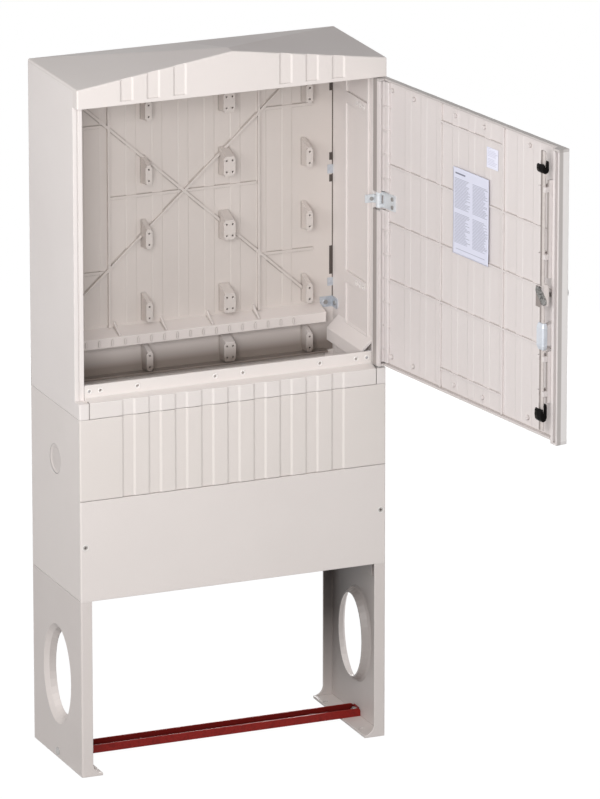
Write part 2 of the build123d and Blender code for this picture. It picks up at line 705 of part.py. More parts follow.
def round_roof_edges(shell):
    """Round the outline of the roof seen from above and the front corners of the fascia."""
    outline = []
    for edge in shell.edges():
        place = edge.center()
        at_side = abs(abs(place.X) - RIGHT) < FIT
        at_end = abs(place.Y - FRONT) < FIT or abs(place.Y - BACK) < FIT
        at_top = place.Z > EAVE_Z - FIT
        if (at_side or at_end) and at_top or at_side and at_end:
            outline.append(edge)
    return fillet(outline, CORNER_R)


def build_roof():
    gable = [(LEFT, FASCIA_Z), (RIGHT, FASCIA_Z), (RIGHT, EAVE_Z), (0, APEX_Z), (LEFT, EAVE_Z)]
    fall = [
        (FRONT, FASCIA_Z), (JAMB_Y, FASCIA_Z), (JAMB_Y, WALL_TOP), (BACK, WALL_TOP), (BACK, EAVE_Z),
        (FRONT + RIDGE_L, APEX_Z), (FRONT, APEX_Z),
    ]
    shell = from_front(gable, FRONT, BACK) & from_side(fall, LEFT, RIGHT)
    shell = round_roof_edges(shell)
    low = FASCIA_Z + WALL
    eave = EAVE_Z - WALL
    apex = APEX_Z - WALL
    in_gable = [
        (LEFT + WALL, low), (RIGHT - WALL, low), (RIGHT - WALL, eave + GABLE_RISE * WALL / RIGHT),
        (0, apex), (LEFT + WALL, eave + GABLE_RISE * WALL / RIGHT),
    ]
    in_fall = [
        (FRONT + WALL, low), (JAMB_Y + 1, low), (JAMB_Y + 1, WALL_TOP - 1), (BACK - WALL, WALL_TOP - 1),
        (BACK - WALL, eave), (FRONT + RIDGE_L, apex), (FRONT + WALL, apex),
    ]
    hollow = from_front(in_gable, FRONT + WALL, BACK - WALL) & from_side(in_fall, LEFT + WALL, RIGHT - WALL)
    lip_x = RIGHT - JAMB_W - FIT
    lip = block(-lip_x, lip_x, JAMB_Y, JAMB_Y + LIP_T, FASCIA_Z - LIP_DROP, low)
    boss = bar_z(HINGE_X, HINGE_Y, PIN_BOSS_R, FASCIA_Z, FASCIA_Z + PIN_BOSS_H)
    boss &= block(RIGHT - FOOT_W, RIGHT, FRONT, JAMB_Y, FASCIA_Z, EAVE_Z)
    seat = bar_z(HINGE_X, HINGE_Y, PIN_R + PIN_FIT, FASCIA_Z - 1, FASCIA_Z + PIN_SEAT)
    flutes = flute_cuts(FRONT, 1, FASCIA_Z + FASCIA_BORDER, APEX_Z, BARE_FLUTES)
    return shell - hollow + [lip, boss] - [seat] - flutes


def build_upper_hinge_pin():
    return bar_z(HINGE_X, HINGE_Y, PIN_R, DOOR_Z1 - RIM, FASCIA_Z + PIN_SEAT)


def build_lower_hinge_pin():
    pin = bar_z(HINGE_X, HINGE_Y, PIN_R, SILL_Z - PIN_SEAT, DOOR_Z0 + RIM)
    return pin + bar_z(HINGE_X, HINGE_Y, COLLAR_R, SILL_Z, DOOR_Z0 - ROD_FIT)


def build_hinge_bracket():
    half = KNUCKLE_H / 2
    z0 = MID_HINGE_Z - half
    z1 = MID_HINGE_Z + half
    plate_y = JAMB_Y - BRACKET_T
    plate = block(HINGE_X - BRACKET_REACH, HINGE_X + KNUCKLE_R, plate_y, JAMB_Y, z0, z1)
    knuckle = bar_z(HINGE_X, HINGE_Y, KNUCKLE_R, z0, z1)
    web = block(HINGE_X - KNUCKLE_R, HINGE_X + KNUCKLE_R / 2, HINGE_Y, plate_y, z0, z1)
    return plate + [knuckle, web] - bar_z(HINGE_X, HINGE_Y, MID_PIN_R + PIN_FIT, z0 - 1, z1 + 1)


def strap_half():
    """Half the height of the three knuckles of the middle hinge."""
    return KNUCKLE_H / 2 + KNUCKLE_GAP + STRAP_KNUCKLE_H


def build_mid_pin():
    return bar_z(HINGE_X, HINGE_Y, MID_PIN_R, MID_HINGE_Z - strap_half(), MID_HINGE_Z + strap_half())


def build_hinge_strap():
    z0 = MID_HINGE_Z - strap_half()
    z1 = MID_HINGE_Z + strap_half()
    leaf = block(HINGE_X - STRAP_REACH, HINGE_X, SKIN_Y, SKIN_Y + STRAP_T, z0, z1)
    barrel = bar_z(HINGE_X, HINGE_Y, KNUCKLE_R, z0, z1)
    root = block(HINGE_X - KNUCKLE_R, HINGE_X, SKIN_Y, HINGE_Y, z0, z1)
    gap_half = KNUCKLE_H / 2 + KNUCKLE_GAP
    gap_x = HINGE_X - KNUCKLE_R - NOTCH_CLEAR
    gap = block(gap_x, RIGHT, FRONT, JAMB_Y, MID_HINGE_Z - gap_half, MID_HINGE_Z + gap_half)
    bore = bar_z(HINGE_X, HINGE_Y, MID_PIN_R + PIN_FIT, z0 - 1, z1 + 1)
    return leaf + [barrel, root] - [gap, bore]


def build_strap_screws():
    screws = []
    for z in (MID_HINGE_Z - KNUCKLE_H / 2, MID_HINGE_Z + KNUCKLE_H / 2):
        y0 = SKIN_Y + STRAP_T
        x = HINGE_X - STRAP_REACH + 2 * SMALL_SCREW_R
        screws.append(prism_y(x, z, SMALL_SCREW_R, y0, y0 + SMALL_SCREW_H))
    return Compound(screws)


def build_bracket_screw():
    x = HINGE_X - BRACKET_REACH + 2 * SMALL_SCREW_R + JAMB_W / 4
    y1 = JAMB_Y - BRACKET_T
    return prism_y(x, MID_HINGE_Z, SMALL_SCREW_R, y1 - SMALL_SCREW_H, y1)


def leaf_outline(inset, back_y, flange_x):
    """Plan of the leaf with its round hinge edge, drawn a wall's thickness in where inset says."""
    r = HINGE_R - inset
    top = HINGE_Y + r
    free = DOOR_LEFT + (RIM if inset else 0)
    edges = [
        Line((free, FRONT + inset), (HINGE_X, FRONT + inset)),
        ThreePointArc((HINGE_X, FRONT + inset), (HINGE_X + r, HINGE_Y), (HINGE_X, top)),
        Line((HINGE_X, top), (flange_x, top)),
        Line((flange_x, top), (flange_x, back_y)),
        Line((flange_x, back_y), (free, back_y)),
        Line((free, back_y), (free, FRONT + inset)),
    ]
    return make_face([edge for edge in edges if edge.length > FIT / 10])


def plain_leaf():
    """Tray of the leaf: skin, rims, round hinge edge with its flange, and free-edge channel."""
    outer = make_face([
        Line((DOOR_LEFT, FRONT), (HINGE_X, FRONT)),
        ThreePointArc((HINGE_X, FRONT), (HINGE_X + HINGE_R, HINGE_Y), (HINGE_X, DOOR_BACK)),
        Line((HINGE_X, DOOR_BACK), (DOOR_LEFT, DOOR_BACK)),
        Line((DOOR_LEFT, DOOR_BACK), (DOOR_LEFT, FRONT)),
    ])
    tray = extrude(Plane.XY.offset(DOOR_Z0) * outer, DOOR_Z1 - DOOR_Z0)
    pocket = leaf_outline(SKIN, DOOR_BACK + 1, HINGE_X - HINGE_FLANGE)
    tray -= extrude(Plane.XY.offset(DOOR_Z0 + RIM) * pocket, DOOR_Z1 - DOOR_Z0 - 2 * RIM)
    x0 = DOOR_LEFT + CHANNEL_W
    z0 = DOOR_Z0 + RIM
    z1 = DOOR_Z1 - RIM
    channel = block(x0, x0 + CHANNEL_WALL, SKIN_Y, DOOR_BACK, z0, z1)
    flange = block(x0, x0 + CHANNEL_FLANGE, DOOR_BACK - CHANNEL_WALL, DOOR_BACK, z0, z1)
    rim_x0 = x0 + CHANNEL_FLANGE
    rim_x1 = HINGE_X - HINGE_FLANGE
    for z in (DOOR_Z0, z1):
        tray -= block(rim_x0, rim_x1, FRONT + LEVEL_RIM_D, DOOR_BACK, z, z + RIM)
    return tray + [channel, flange]


def leaf_ribs():
    """Upright and level ribs and the round bosses on the inner face."""
    z0 = DOOR_Z0 + RIM
    z1 = DOOR_Z1 - RIM
    y1 = SKIN_Y + DOOR_RIB_H
    half = DOOR_RIB_W / 2
    free = DOOR_LEFT + CHANNEL_W
    near = HINGE_X - HINGE_R
    uprights = [HINGE_X - u for u in DOOR_RIB_US]
    ribs = [block(x - half, x + half, SKIN_Y, y1, z0, z1) for x in uprights]
    for drop in DOOR_RIB_DROPS:
        z = DOOR_Z1 - drop
        ribs.append(block(free, near, SKIN_Y, y1, z - half, z + half))
    for z in (DOOR_Z0 + SHORT_RIB_INSET, DOOR_Z1 - SHORT_RIB_INSET):
        ribs.append(block(min(uprights), max(uprights), SKIN_Y, y1, z - half, z + half))
    for u in DOOR_BOSS_US:
        for z in (DOOR_Z0 + DOOR_BOSS_INSET, DOOR_Z1 - DOOR_BOSS_INSET):
            ribs.append(prism_y(HINGE_X - u, z, DOOR_BOSS_R, SKIN_Y, SKIN_Y + DOOR_BOSS_H))
    return ribs


def lock_clearance():
    """Room in the ribs for the lock fittings that stand on the skin."""
    half = GUIDE_W / 2 + FIT
    x0 = LOCK_X - half
    x1 = LOCK_X + half
    rooms = []
    for z in guide_heights():
        rooms.append(block(x0, x1, SKIN_Y, DOOR_BACK, z - GUIDE_T / 2 - FIT, z + GUIDE_T / 2 + FIT))
    low = LOCK_Z - CYLINDER_DROP - HOUSING_H / 2 - FIT
    rooms.append(block(x0, x1, SKIN_Y, DOOR_BACK, low, low + HOUSING_H + 2 * FIT))
    rooms.append(block(x0, x1, SKIN_Y, DOOR_BACK, LOCK_Z - half, LOCK_Z + half))
    return rooms


def build_door_leaf():
    leaf = plain_leaf() + [rib - lock_clearance() for rib in leaf_ribs()]
    notch_half = strap_half() + NOTCH_CLEAR
    z0 = MID_HINGE_Z - notch_half
    z1 = MID_HINGE_Z + notch_half
    cuts = [block(HINGE_X - STRAP_REACH, RIGHT + 1, SKIN_Y, DOOR_BACK + 1, z0, z1)]
    cuts.append(block(HINGE_X + NOTCH_CLEAR, RIGHT + 1, FRONT - 1, DOOR_BACK + 1, z0, z1))
    cuts.append(bar_z(HINGE_X, HINGE_Y, PIN_R + PIN_FIT, DOOR_Z0 - 1, DOOR_Z0 + RIM + 1))
    cuts.append(bar_z(HINGE_X, HINGE_Y, PIN_R + PIN_FIT, DOOR_Z1 - RIM - 1, DOOR_Z1 + 1))
    cuts.append(bar_y(LOCK_X, LOCK_Z, SPINDLE_R + FIT, FRONT - 1, SKIN_Y + 1))
    cuts.append(bar_y(LOCK_X, LOCK_Z - CYLINDER_DROP, CYLINDER_R + FIT, FRONT - 1, SKIN_Y + 1))
    for rise in BASE_SCREW_ZS:
        cuts.append(prism_y(LOCK_X, LOCK_Z + rise, SCREW_R + FIT, FRONT - 1, SKIN_Y + 1))
    return leaf - cuts - flute_cuts(FRONT, 1, DOOR_Z0 - 1, DOOR_Z1 + 1)


def build_instruction_sheet():
    x = HINGE_X - SHEET_U
    z = DOOR_Z1 - SHEET_DROP
    y0 = SKIN_Y + DOOR_RIB_H
    half = SHEET_W / 2
    return block(x - half, x + half, y0, y0 + SHEET_T, z - SHEET_H / 2, z + SHEET_H / 2)


def build_door_label():
    x0 = HINGE_X - DOOR_RIB_US[1] + DOOR_RIB_W / 2 + LABEL_BESIDE_RIB
    z1 = DOOR_Z1 - SHORT_RIB_INSET - DOOR_RIB_W / 2 - LABEL_BELOW_RIB
    return block(x0, x0 + LABEL_W, SKIN_Y, SKIN_Y + SHEET_T, z1 - LABEL_H, z1)


def guide_heights():
    """Heights of the four rod guides."""
    from_end = GLIDE_FROM_END + GUIDE_FROM_GLIDE
    upper = [LOCK_Z + UPPER_GUIDE_RISE, UPPER_ROD_END - from_end]
    lower = [LOCK_Z - LOWER_GUIDE_DROP, LOWER_ROD_END + from_end]
    return upper + lower


def build_rod_guides():
    guides = []
    half = GUIDE_W / 2
    rod_half = ROD_W / 2 + ROD_FIT
    arch_half = half - GUIDE_LEG
    for z in guide_heights():
        z0 = z - GUIDE_T / 2
        z1 = z + GUIDE_T / 2
        guide = block(LOCK_X - half, LOCK_X + half, SKIN_Y, ROD_Y1 + GUIDE_TOP, z0, z1)
        guide -= block(LOCK_X - rod_half, LOCK_X + rod_half, ROD_Y0 - ROD_FIT, ROD_Y1 + ROD_FIT, z0, z1)
        guide -= block(LOCK_X - arch_half, LOCK_X + arch_half, SKIN_Y, ROD_Y0 - GUIDE_TOP, z0, z1)
        guides.append(guide)
    return Compound(guides)


def build_handle_base():
    half = HANDLE_BASE_W / 2
    top = LOCK_Z + HANDLE_BASE_ABOVE - half
    low = LOCK_Z - HANDLE_BASE_BELOW + half
    base = block(LOCK_X - half, LOCK_X + half, BASE_Y, FRONT, low, top)
    base += [bar_y(LOCK_X, z, half, BASE_Y, FRONT) for z in (low, top)]
    base -= bar_y(LOCK_X, LOCK_Z, SPINDLE_R + PIN_FIT, BASE_Y - 1, FRONT + 1)
    base -= bar_y(LOCK_X, LOCK_Z - CYLINDER_DROP, CYLINDER_R + PIN_FIT, BASE_Y - 1, FRONT + 1)
    for rise in BASE_SCREW_ZS:
        base -= prism_y(LOCK_X, LOCK_Z + rise, SCREW_R + FIT, FRONT - HANDLE_BASE_T / 2, FRONT)
    return base


def build_base_screws():
    screws = []
    for rise in BASE_SCREW_ZS:
        z = LOCK_Z + rise
        shank = prism_y(LOCK_X, z, SCREW_R, FRONT - HANDLE_BASE_T / 2, SKIN_Y)
        screws.append(shank + prism_y(LOCK_X, z, 2 * SCREW_R, SKIN_Y, SKIN_Y + SCREW_R))
    return Compound(screws)


def build_lock_cylinder():
    z = LOCK_Z - CYLINDER_DROP
    barrel = bar_y(LOCK_X, z, CYLINDER_R, BASE_Y - FIT, ROD_Y0 - 2 * WALL)
    slot_half = CYLINDER_R / 2
    return barrel - block(LOCK_X - FIT, LOCK_X + FIT, BASE_Y - 1, BASE_Y + SCREW_R, z - slot_half, z + slot_half)


def build_cylinder_housing():
    z = LOCK_Z - CYLINDER_DROP
    half_w = HOUSING_W / 2
    half_h = HOUSING_H / 2
    y1 = SKIN_Y + HOUSING_T
    shoulder = HOUSING_T / 2
    points = [
        (SKIN_Y, z - half_h), (y1 - shoulder, z - half_h), (y1, z - half_h + shoulder),
        (y1, z + half_h - shoulder), (y1 - shoulder, z + half_h), (SKIN_Y, z + half_h),
    ]
    housing = from_side(points, LOCK_X - half_w, LOCK_X + half_w)
    rod_half = ROD_W / 2 + ROD_FIT
    way = block(LOCK_X - rod_half, LOCK_X + rod_half, ROD_Y0 - ROD_FIT, ROD_Y1 + ROD_FIT, z - half_h, z + half_h)
    return housing - [way, bar_y(LOCK_X, z, CYLINDER_R + PIN_FIT, SKIN_Y, ROD_Y0 - 2 * WALL + FIT)]


def build_spindle():
    shaft = bar_y(LOCK_X, LOCK_Z, SPINDLE_R, HEAD_Y1, ROD_Y0 - FIT)
    head = bar_y(LOCK_X, LOCK_Z, SPINDLE_HEAD_R, HEAD_Y0, HEAD_Y1)
    half = LEVER_ROOT_W / 2 + ROD_FIT
    slot_x0 = LOCK_X - LEVER_ROOT_R - FIT
    head -= block(slot_x0, LOCK_X + SPINDLE_HEAD_R, HEAD_Y0, HEAD_Y1 - ROD_FIT, LOCK_Z - half, LOCK_Z + half)
    head -= bar_z(LOCK_X, LEVER_PIN_Y, LEVER_PIN_R + PIN_FIT, LOCK_Z - SPINDLE_HEAD_R, LOCK_Z + SPINDLE_HEAD_R)
    side = SPINDLE_SQUARE / 2
    square = block(LOCK_X - side, LOCK_X + side, ROD_Y0 - FIT, CAM_Y1, LOCK_Z - side, LOCK_Z + side)
    return head + [shaft, square]


def build_lever_pin():
    half = sqrt(SPINDLE_HEAD_R ** 2 - LEVER_PIN_R ** 2) - FIT
    return bar_z(LOCK_X, LEVER_PIN_Y, LEVER_PIN_R, LOCK_Z - half, LOCK_Z + half)


def build_handle_lever():
    half = LEVER_ROOT_W / 2
    y0 = LEVER_PIN_Y - LEVER_T / 2
    y1 = LEVER_PIN_Y + LEVER_T / 2
    start = LOCK_X + SPINDLE_HEAD_R + 2 * FIT
    tip = LOCK_X + LEVER_L
    wide = LEVER_W / 2
    root = bar_z(LOCK_X, LEVER_PIN_Y, LEVER_ROOT_R, LOCK_Z - half, LOCK_Z + half)
    root += block(LOCK_X, start + half, y0, y1, LOCK_Z - half, LOCK_Z + half)
    grip = block(start, tip - wide, y0, y1, LOCK_Z - wide, LOCK_Z + wide)
    grip += bar_y(tip - wide, LOCK_Z, wide, y0, y1)
    window = bar_y(LOCK_X + CYLINDER_DROP, LOCK_Z, CYLINDER_R + FIT, y0 - 1, y1 + 1)
    bore = bar_z(LOCK_X, LEVER_PIN_Y, LEVER_PIN_R + PIN_FIT, LOCK_Z - half, LOCK_Z + half)
    return root + grip - [window, bore]


def cam_pin_place(side):
    """Place of a cam pin at rest: side -1 drives the upper rod, +1 the lower rod."""
    reach = CAM_R / sqrt(2)
    return LOCK_X + side * reach, LOCK_Z + side * reach


def build_lock_cam():
    half = CAM_W / 2
    side = SPINDLE_SQUARE / 2 + PIN_FIT
    turn = Pos(LOCK_X, 0, LOCK_Z) * Rot(0, -45, 0)
    arm = turn * block(-CAM_R, CAM_R, CAM_Y0, CAM_Y1, -half, half)
    pieces = []
    for end in (-1, 1):
        x, z = cam_pin_place(end)
        pieces.append(bar_y(x, z, half, CAM_Y0, CAM_Y1))
        pieces.append(bar_y(x, z, CAM_PIN_R, ROD_Y0 - FIT, CAM_Y0))
    hole = block(LOCK_X - side, LOCK_X + side, CAM_Y0 - 1, CAM_Y1 + 1, LOCK_Z - side, LOCK_Z + side)
    return arm + pieces - hole


def build_cam_screw():
    return prism_y(LOCK_X, LOCK_Z, 2 * SCREW_R, CAM_Y1, CAM_Y1 + SCREW_R)


def build_rod(side, rod_end):
    """Flat locking rod with its slotted head beside the spindle: side -1 runs up, +1 runs down."""
    z_from = LOCK_Z - side * ROD_NECK
    zs = sorted((z_from, rod_end))
    rod = block(LOCK_X - ROD_W / 2, LOCK_X + ROD_W / 2, ROD_Y0, ROD_Y1, zs[0], zs[1])
    pin_x, pin_z = cam_pin_place(side)
    slot_half = CAM_PIN_R + SLOT_CLEAR
    xs = sorted((LOCK_X + side * ROD_HEAD_GAP, LOCK_X + side * (ROD_HEAD_GAP + ROD_HEAD_W)))
    zs = sorted((pin_z + side * (slot_half + ROD_HEAD_END / 2), z_from - side * ROD_HEAD_END))
    rod += block(xs[0], xs[1], ROD_Y0, ROD_Y1, zs[0], zs[1])
    far_x = LOCK_X + side * CAM_R
    slot_xs = sorted((pin_x, far_x))
    cuts = [block(slot_xs[0], slot_xs[1], ROD_Y0, ROD_Y1, pin_z - slot_half, pin_z + slot_half)]
    cuts += [bar_y(x, pin_z, slot_half, ROD_Y0, ROD_Y1) for x in (pin_x, far_x)]
    glide_z = rod_end + side * GLIDE_FROM_END
    cuts.append(bar_y(LOCK_X, glide_z, GLIDE_NECK_R + PIN_FIT, ROD_Y0, ROD_Y1))
    return rod - cuts


def build_glide(side, rod_end):
    """Black forked saddle near the end of a rod, pinned through it and open to the inside."""
    z = rod_end + side * GLIDE_FROM_END
    half = GLIDE_W / 2
    notch = GLIDE_NOTCH / 2
    rod_half = ROD_W / 2 + ROD_FIT
    y0 = ROD_Y0 - ROD_FIT - GLIDE_BACK
    y1 = ROD_Y1 + ROD_FIT
    top = y1 + GLIDE_PRONG
    points = [
        (LOCK_X - half, y0), (LOCK_X + half, y0), (LOCK_X + half, top - notch), (LOCK_X + notch + 1, top),
        (LOCK_X + notch, top - 1), (LOCK_X, y1 + GLIDE_BACK), (LOCK_X - notch, top - 1), (LOCK_X - notch - 1, top),
        (LOCK_X - half, top - notch),
    ]
    saddle = from_plan(points, z - GLIDE_H / 2, z + GLIDE_H / 2)
    saddle -= block(LOCK_X - rod_half, LOCK_X + rod_half, ROD_Y0 - ROD_FIT, y1, z - GLIDE_H / 2, z + GLIDE_H / 2)
    return saddle + bar_y(LOCK_X, z, GLIDE_NECK_R, ROD_Y0 - ROD_FIT, y1)


FIXED = {
    "left_leg": build_left_leg(),
    "right_leg": mirrored(build_left_leg()),
    "leg_screws": build_leg_screws(),
    "anchor_bar": build_anchor_bar(),
    "anchor_bolts": build_anchor_bolts(),
    "anchor_nuts": build_anchor_nuts(),
    "plinth_left_side": build_plinth_left_side(),
    "plinth_right_side": mirrored(build_plinth_left_side()),
    "plinth_front_upper": build_front_upper(),
    "plinth_front_lower": build_front_lower(),
    "plinth_back_upper": mirror(build_front_upper(), about=Plane.XZ),
    "plinth_back_lower": mirror(build_front_lower(), about=Plane.XZ),
    "panel_screws": build_panel_screws(),
    "left_wall": build_left_wall(),
    "right_wall": build_right_wall(),
    "front_sill": build_front_sill(),
    "rear_sill": build_rear_sill(),
    "back_wall": build_back_wall(),
    "corner_clamps": build_corner_clamps(),
    "clamp_screws": build_clamp_screws(),
    "roof": build_roof(),
    "upper_hinge_pin": build_upper_hinge_pin(),
    "lower_hinge_pin": build_lower_hinge_pin(),
    "middle_hinge_bracket": build_hinge_bracket(),
    "middle_hinge_pin": build_mid_pin(),
    "bracket_screw": build_bracket_screw(),
}

ON_DOOR = {
    "door_leaf": build_door_leaf(),
    "middle_hinge_strap": build_hinge_strap(),
    "strap_screws": build_strap_screws(),
    "instruction_sheet": build_instruction_sheet(),
    "door_label": build_door_label(),
    "rod_guides": build_rod_guides(),
    "handle_base": build_handle_base(),
    "base_screws": build_base_screws(),
    "lock_cylinder": build_lock_cylinder(),
    "cylinder_housing": build_cylinder_housing(),
    "spindle": build_spindle(),
    "lock_cam": build_lock_cam(),
    "cam_screw": build_cam_screw(),
    "lever_pin": build_lever_pin(),
    "handle_lever": build_handle_lever(),
    "upper_rod": build_rod(-1, UPPER_ROD_END),
    "upper_rod_glide": build_glide(-1, UPPER_ROD_END),
    "lower_rod": build_rod(1, LOWER_ROD_END),
    "lower_rod_glide": build_glide(1, LOWER_ROD_END),
}

os.makedirs("parts", exist_ok=True)
for name, shape in FIXED.items():
    export_step(shape, f"parts/{name}.step")
for name, shape in ON_DOOR.items():
    export_step(on_open_door(shape), f"parts/{name}.step")

hinge_height = (DOOR_Z0 + DOOR_Z1) / 2
print("door hinge axis at", HINGE_X, HINGE_Y, hinge_height)
print("rod travel", ROD_TRAVEL, "in a turn of", pi / 2)
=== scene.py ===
"""Looks of a free-standing moulded cable cabinet, with its door standing open."""

from __future__ import annotations

import json
import logging
import math
from dataclasses import dataclass, field, replace
from enum import Enum
from typing import NamedTuple

import bmesh
import bpy
import numpy as np
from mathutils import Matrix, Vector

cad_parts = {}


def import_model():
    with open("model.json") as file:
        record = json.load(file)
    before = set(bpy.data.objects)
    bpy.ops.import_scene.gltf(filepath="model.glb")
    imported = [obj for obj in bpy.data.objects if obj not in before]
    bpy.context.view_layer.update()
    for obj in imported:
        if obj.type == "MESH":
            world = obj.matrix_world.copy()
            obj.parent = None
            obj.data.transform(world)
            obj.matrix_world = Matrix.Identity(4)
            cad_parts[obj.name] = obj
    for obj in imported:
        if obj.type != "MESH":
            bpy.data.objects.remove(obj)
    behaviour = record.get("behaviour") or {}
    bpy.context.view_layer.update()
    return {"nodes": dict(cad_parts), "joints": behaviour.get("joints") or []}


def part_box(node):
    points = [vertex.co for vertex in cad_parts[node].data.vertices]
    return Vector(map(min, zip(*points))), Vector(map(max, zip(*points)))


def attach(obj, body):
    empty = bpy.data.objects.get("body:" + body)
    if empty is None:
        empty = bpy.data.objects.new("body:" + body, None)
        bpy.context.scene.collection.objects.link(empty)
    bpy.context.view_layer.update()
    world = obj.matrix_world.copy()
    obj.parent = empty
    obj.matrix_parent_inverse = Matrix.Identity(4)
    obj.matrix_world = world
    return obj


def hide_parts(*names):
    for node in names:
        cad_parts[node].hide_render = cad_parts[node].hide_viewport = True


LOG = logging.getLogger("cabinet")

MM = 0.001
OVER = 1.0 * MM  # How far a band reaches past the piece that it colours.
MIX_INPUTS = (0, 6, 7)
MIX_OUTPUT = 2

Colour = tuple[float, float, float, float]
Way = tuple[float, float, float]
Span = tuple[float, float]
Socket = bpy.types.NodeSocket

LEFT: Way = (-1.0, 0.0, 0.0)
RIGHT: Way = (1.0, 0.0, 0.0)
FRONT: Way = (0.0, -1.0, 0.0)
REAR: Way = (0.0, 1.0, 0.0)
UP: Way = (0.0, 0.0, 1.0)
WHITE: Colour = (1.0, 1.0, 1.0, 1.0)


class Body(Enum):
    """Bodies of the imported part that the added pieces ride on."""

    CABINET = "cabinet"
    DOOR = "door"
    UPPER_ROD = "upper_rod_body"
    LOWER_ROD = "lower_rod_body"


def srgb(red: int, green: int, blue: int) -> Colour:
    """Turn a screen colour into the linear colour that a shader takes, along the sRGB curve.

    Args:
        red: Red from 0 to 255.
        green: Green from 0 to 255.
        blue: Blue from 0 to 255.

    Returns:
        Linear red, green and blue with full alpha.
    """
    share = np.array([red, green, blue]) / 255.0
    linear = np.where(share <= 0.04045, share / 12.92, ((share + 0.055) / 1.055) ** 2.4)
    return float(linear[0]), float(linear[1]), float(linear[2]), 1.0


class Graph:
    """Short hand for adding nodes to one shader tree and linking them."""

    def __init__(self, tree: bpy.types.NodeTree) -> None:
        """Keep the tree that the nodes go into."""
        self.tree = tree

    def add(self, kind: str, **settings: object) -> bpy.types.Node:
        """Add a node and set its options.

        Args:
            kind: Blender's name for the node type.
            settings: Options of the node itself, such as operation.

        Returns:
            The new node.
        """
        node = self.tree.nodes.new(kind)
        for name, value in settings.items():
            setattr(node, name, value)
        return node

    def feed(self, socket: Socket, source: object) -> None:
        """Link a socket to another one, or set it to a plain value.

        Args:
            socket: Input that is fed.
            source: An output socket, a number or a colour.
        """
        if isinstance(source, Socket):
            self.tree.links.new(source, socket)
        else:
            socket.default_value = source

    def math(self, operation: str, first: object, second: object = 0.0, clamp: bool = False) -> Socket:
        """Add a Math node.

        Args:
            operation: Name of the sum, such as MULTIPLY.
            first: First number or socket.
            second: Second number or socket.
            clamp: Whether the result is kept between 0 and 1.

        Returns:
            The output socket.
        """
        node = self.add("ShaderNodeMath", operation=operation, use_clamp=clamp)
        self.feed(node.inputs[0], first)
        self.feed(node.inputs[1], second)
        return node.outputs[0]

    def mix(self, share: object, first: object, second: object) -> Socket:
        """Mix two colours.

        A Mix node has sockets for every type of data, and the colours' are found by their numbers.

        Args:
            share: How much of the second colour shows.
            first: First colour or socket.
            second: Second colour or socket.

        Returns:
            The mixed colour.
        """
        node = self.add("ShaderNodeMix", data_type="RGBA")
        for number, source in zip(MIX_INPUTS, (share, first, second)):
            self.feed(node.inputs[number], source)
        return node.outputs[MIX_OUTPUT]

    def noise(self, place: Socket, scale: float, detail: float = 2.0) -> Socket:
        """Add a noise texture.

        Args:
            place: Coordinates that it reads.
            scale: Waves for each metre.
            detail: Finer layers.

        Returns:
            The noise from 0 to 1.
        """
        node = self.add("ShaderNodeTexNoise")
        self.feed(node.inputs["Vector"], place)
        node.inputs["Scale"].default_value = scale
        node.inputs["Detail"].default_value = detail
        return node.outputs["Fac"]

    def band(self, value: object, low: float, high: float, soft: float) -> Socket:
        """Mask that is 1 between two limits and falls off softly at both.

        Args:
            value: Number or socket that is tested.
            low: Lower limit.
            high: Upper limit.
            soft: Width of the fall.

        Returns:
            The mask from 0 to 1.
        """
        rise = self.math("DIVIDE", self.math("SUBTRACT", value, low), soft, clamp=True)
        fall = self.math("DIVIDE", self.math("SUBTRACT", high, value), soft, clamp=True)
        return self.math("MULTIPLY", rise, fall)

    def along(self, place: Socket, way: object) -> Socket:
        """Measure a place along a direction, or how far two directions agree.

        Args:
            place: Coordinates or direction that it reads.
            way: Direction of length 1, or a socket that holds one.

        Returns:
            The distance from the origin along it, or the cosine between the two.
        """
        node = self.add("ShaderNodeVectorMath", operation="DOT_PRODUCT")
        self.feed(node.inputs[0], place)
        self.feed(node.inputs[1], way)
        return node.outputs["Value"]

    def group(self, name: GroupName) -> bpy.types.Node:
        """Place one of the shared groups."""
        return self.add("ShaderNodeGroup", node_tree=bpy.data.node_groups[name.value])

    def object_place(self) -> Socket:
        """Place on the piece, in the frame that the piece was made in."""
        return self.add("ShaderNodeTexCoord").outputs["Object"]

    def scaled(self, value: object, factor: float, start: float) -> Socket:
        """Number that grows from a start by a factor times a value."""
        return self.math("ADD", self.math("MULTIPLY", value, factor), start)

    def seen_rays(self) -> Socket:
        """Mask that is 1 for what the camera sees, straight on, in a reflection or through glass.

        Returns:
            The mask, which is 0 for light that falls on the object.
        """
        rays = self.add("ShaderNodeLightPath")
        seen = self.math("MAXIMUM", rays.outputs["Is Camera Ray"], rays.outputs["Is Glossy Ray"])
        return self.math("MAXIMUM", seen, rays.outputs["Is Transmission Ray"])


class GroupName(Enum):
    """Shader node groups that more than one material uses."""

    MOULDED = "moulded_skin"
    METAL = "plated_skin"
    EDGE = "rounded_edge"
    CREASE_SHADE = "corner_painted_shade"


class Ends(NamedTuple):
    """What comes into a group and what goes out of it, by name."""

    come: bpy.types.NodeOutputs
    leave: bpy.types.NodeInputs


def new_group(name: GroupName, inputs: dict[str, str], outputs: dict[str, str]) -> tuple[Graph, Ends]:
    """Make a shader group with its sockets and its two end nodes.

    Args:
        name: Name of the group.
        inputs: Socket names and types that come in.
        outputs: Socket names and types that go out.

    Returns:
        The group's graph, and the sockets that come in and go out.
    """
    tree = bpy.data.node_groups.new(name.value, "ShaderNodeTree")
    for label, kind in inputs.items():
        tree.interface.new_socket(label, in_out="INPUT", socket_type=kind)
    for label, kind in outputs.items():
        tree.interface.new_socket(label, in_out="OUTPUT", socket_type=kind)
    graph = Graph(tree)
    return graph, Ends(graph.add("NodeGroupInput").outputs, graph.add("NodeGroupOutput").inputs)


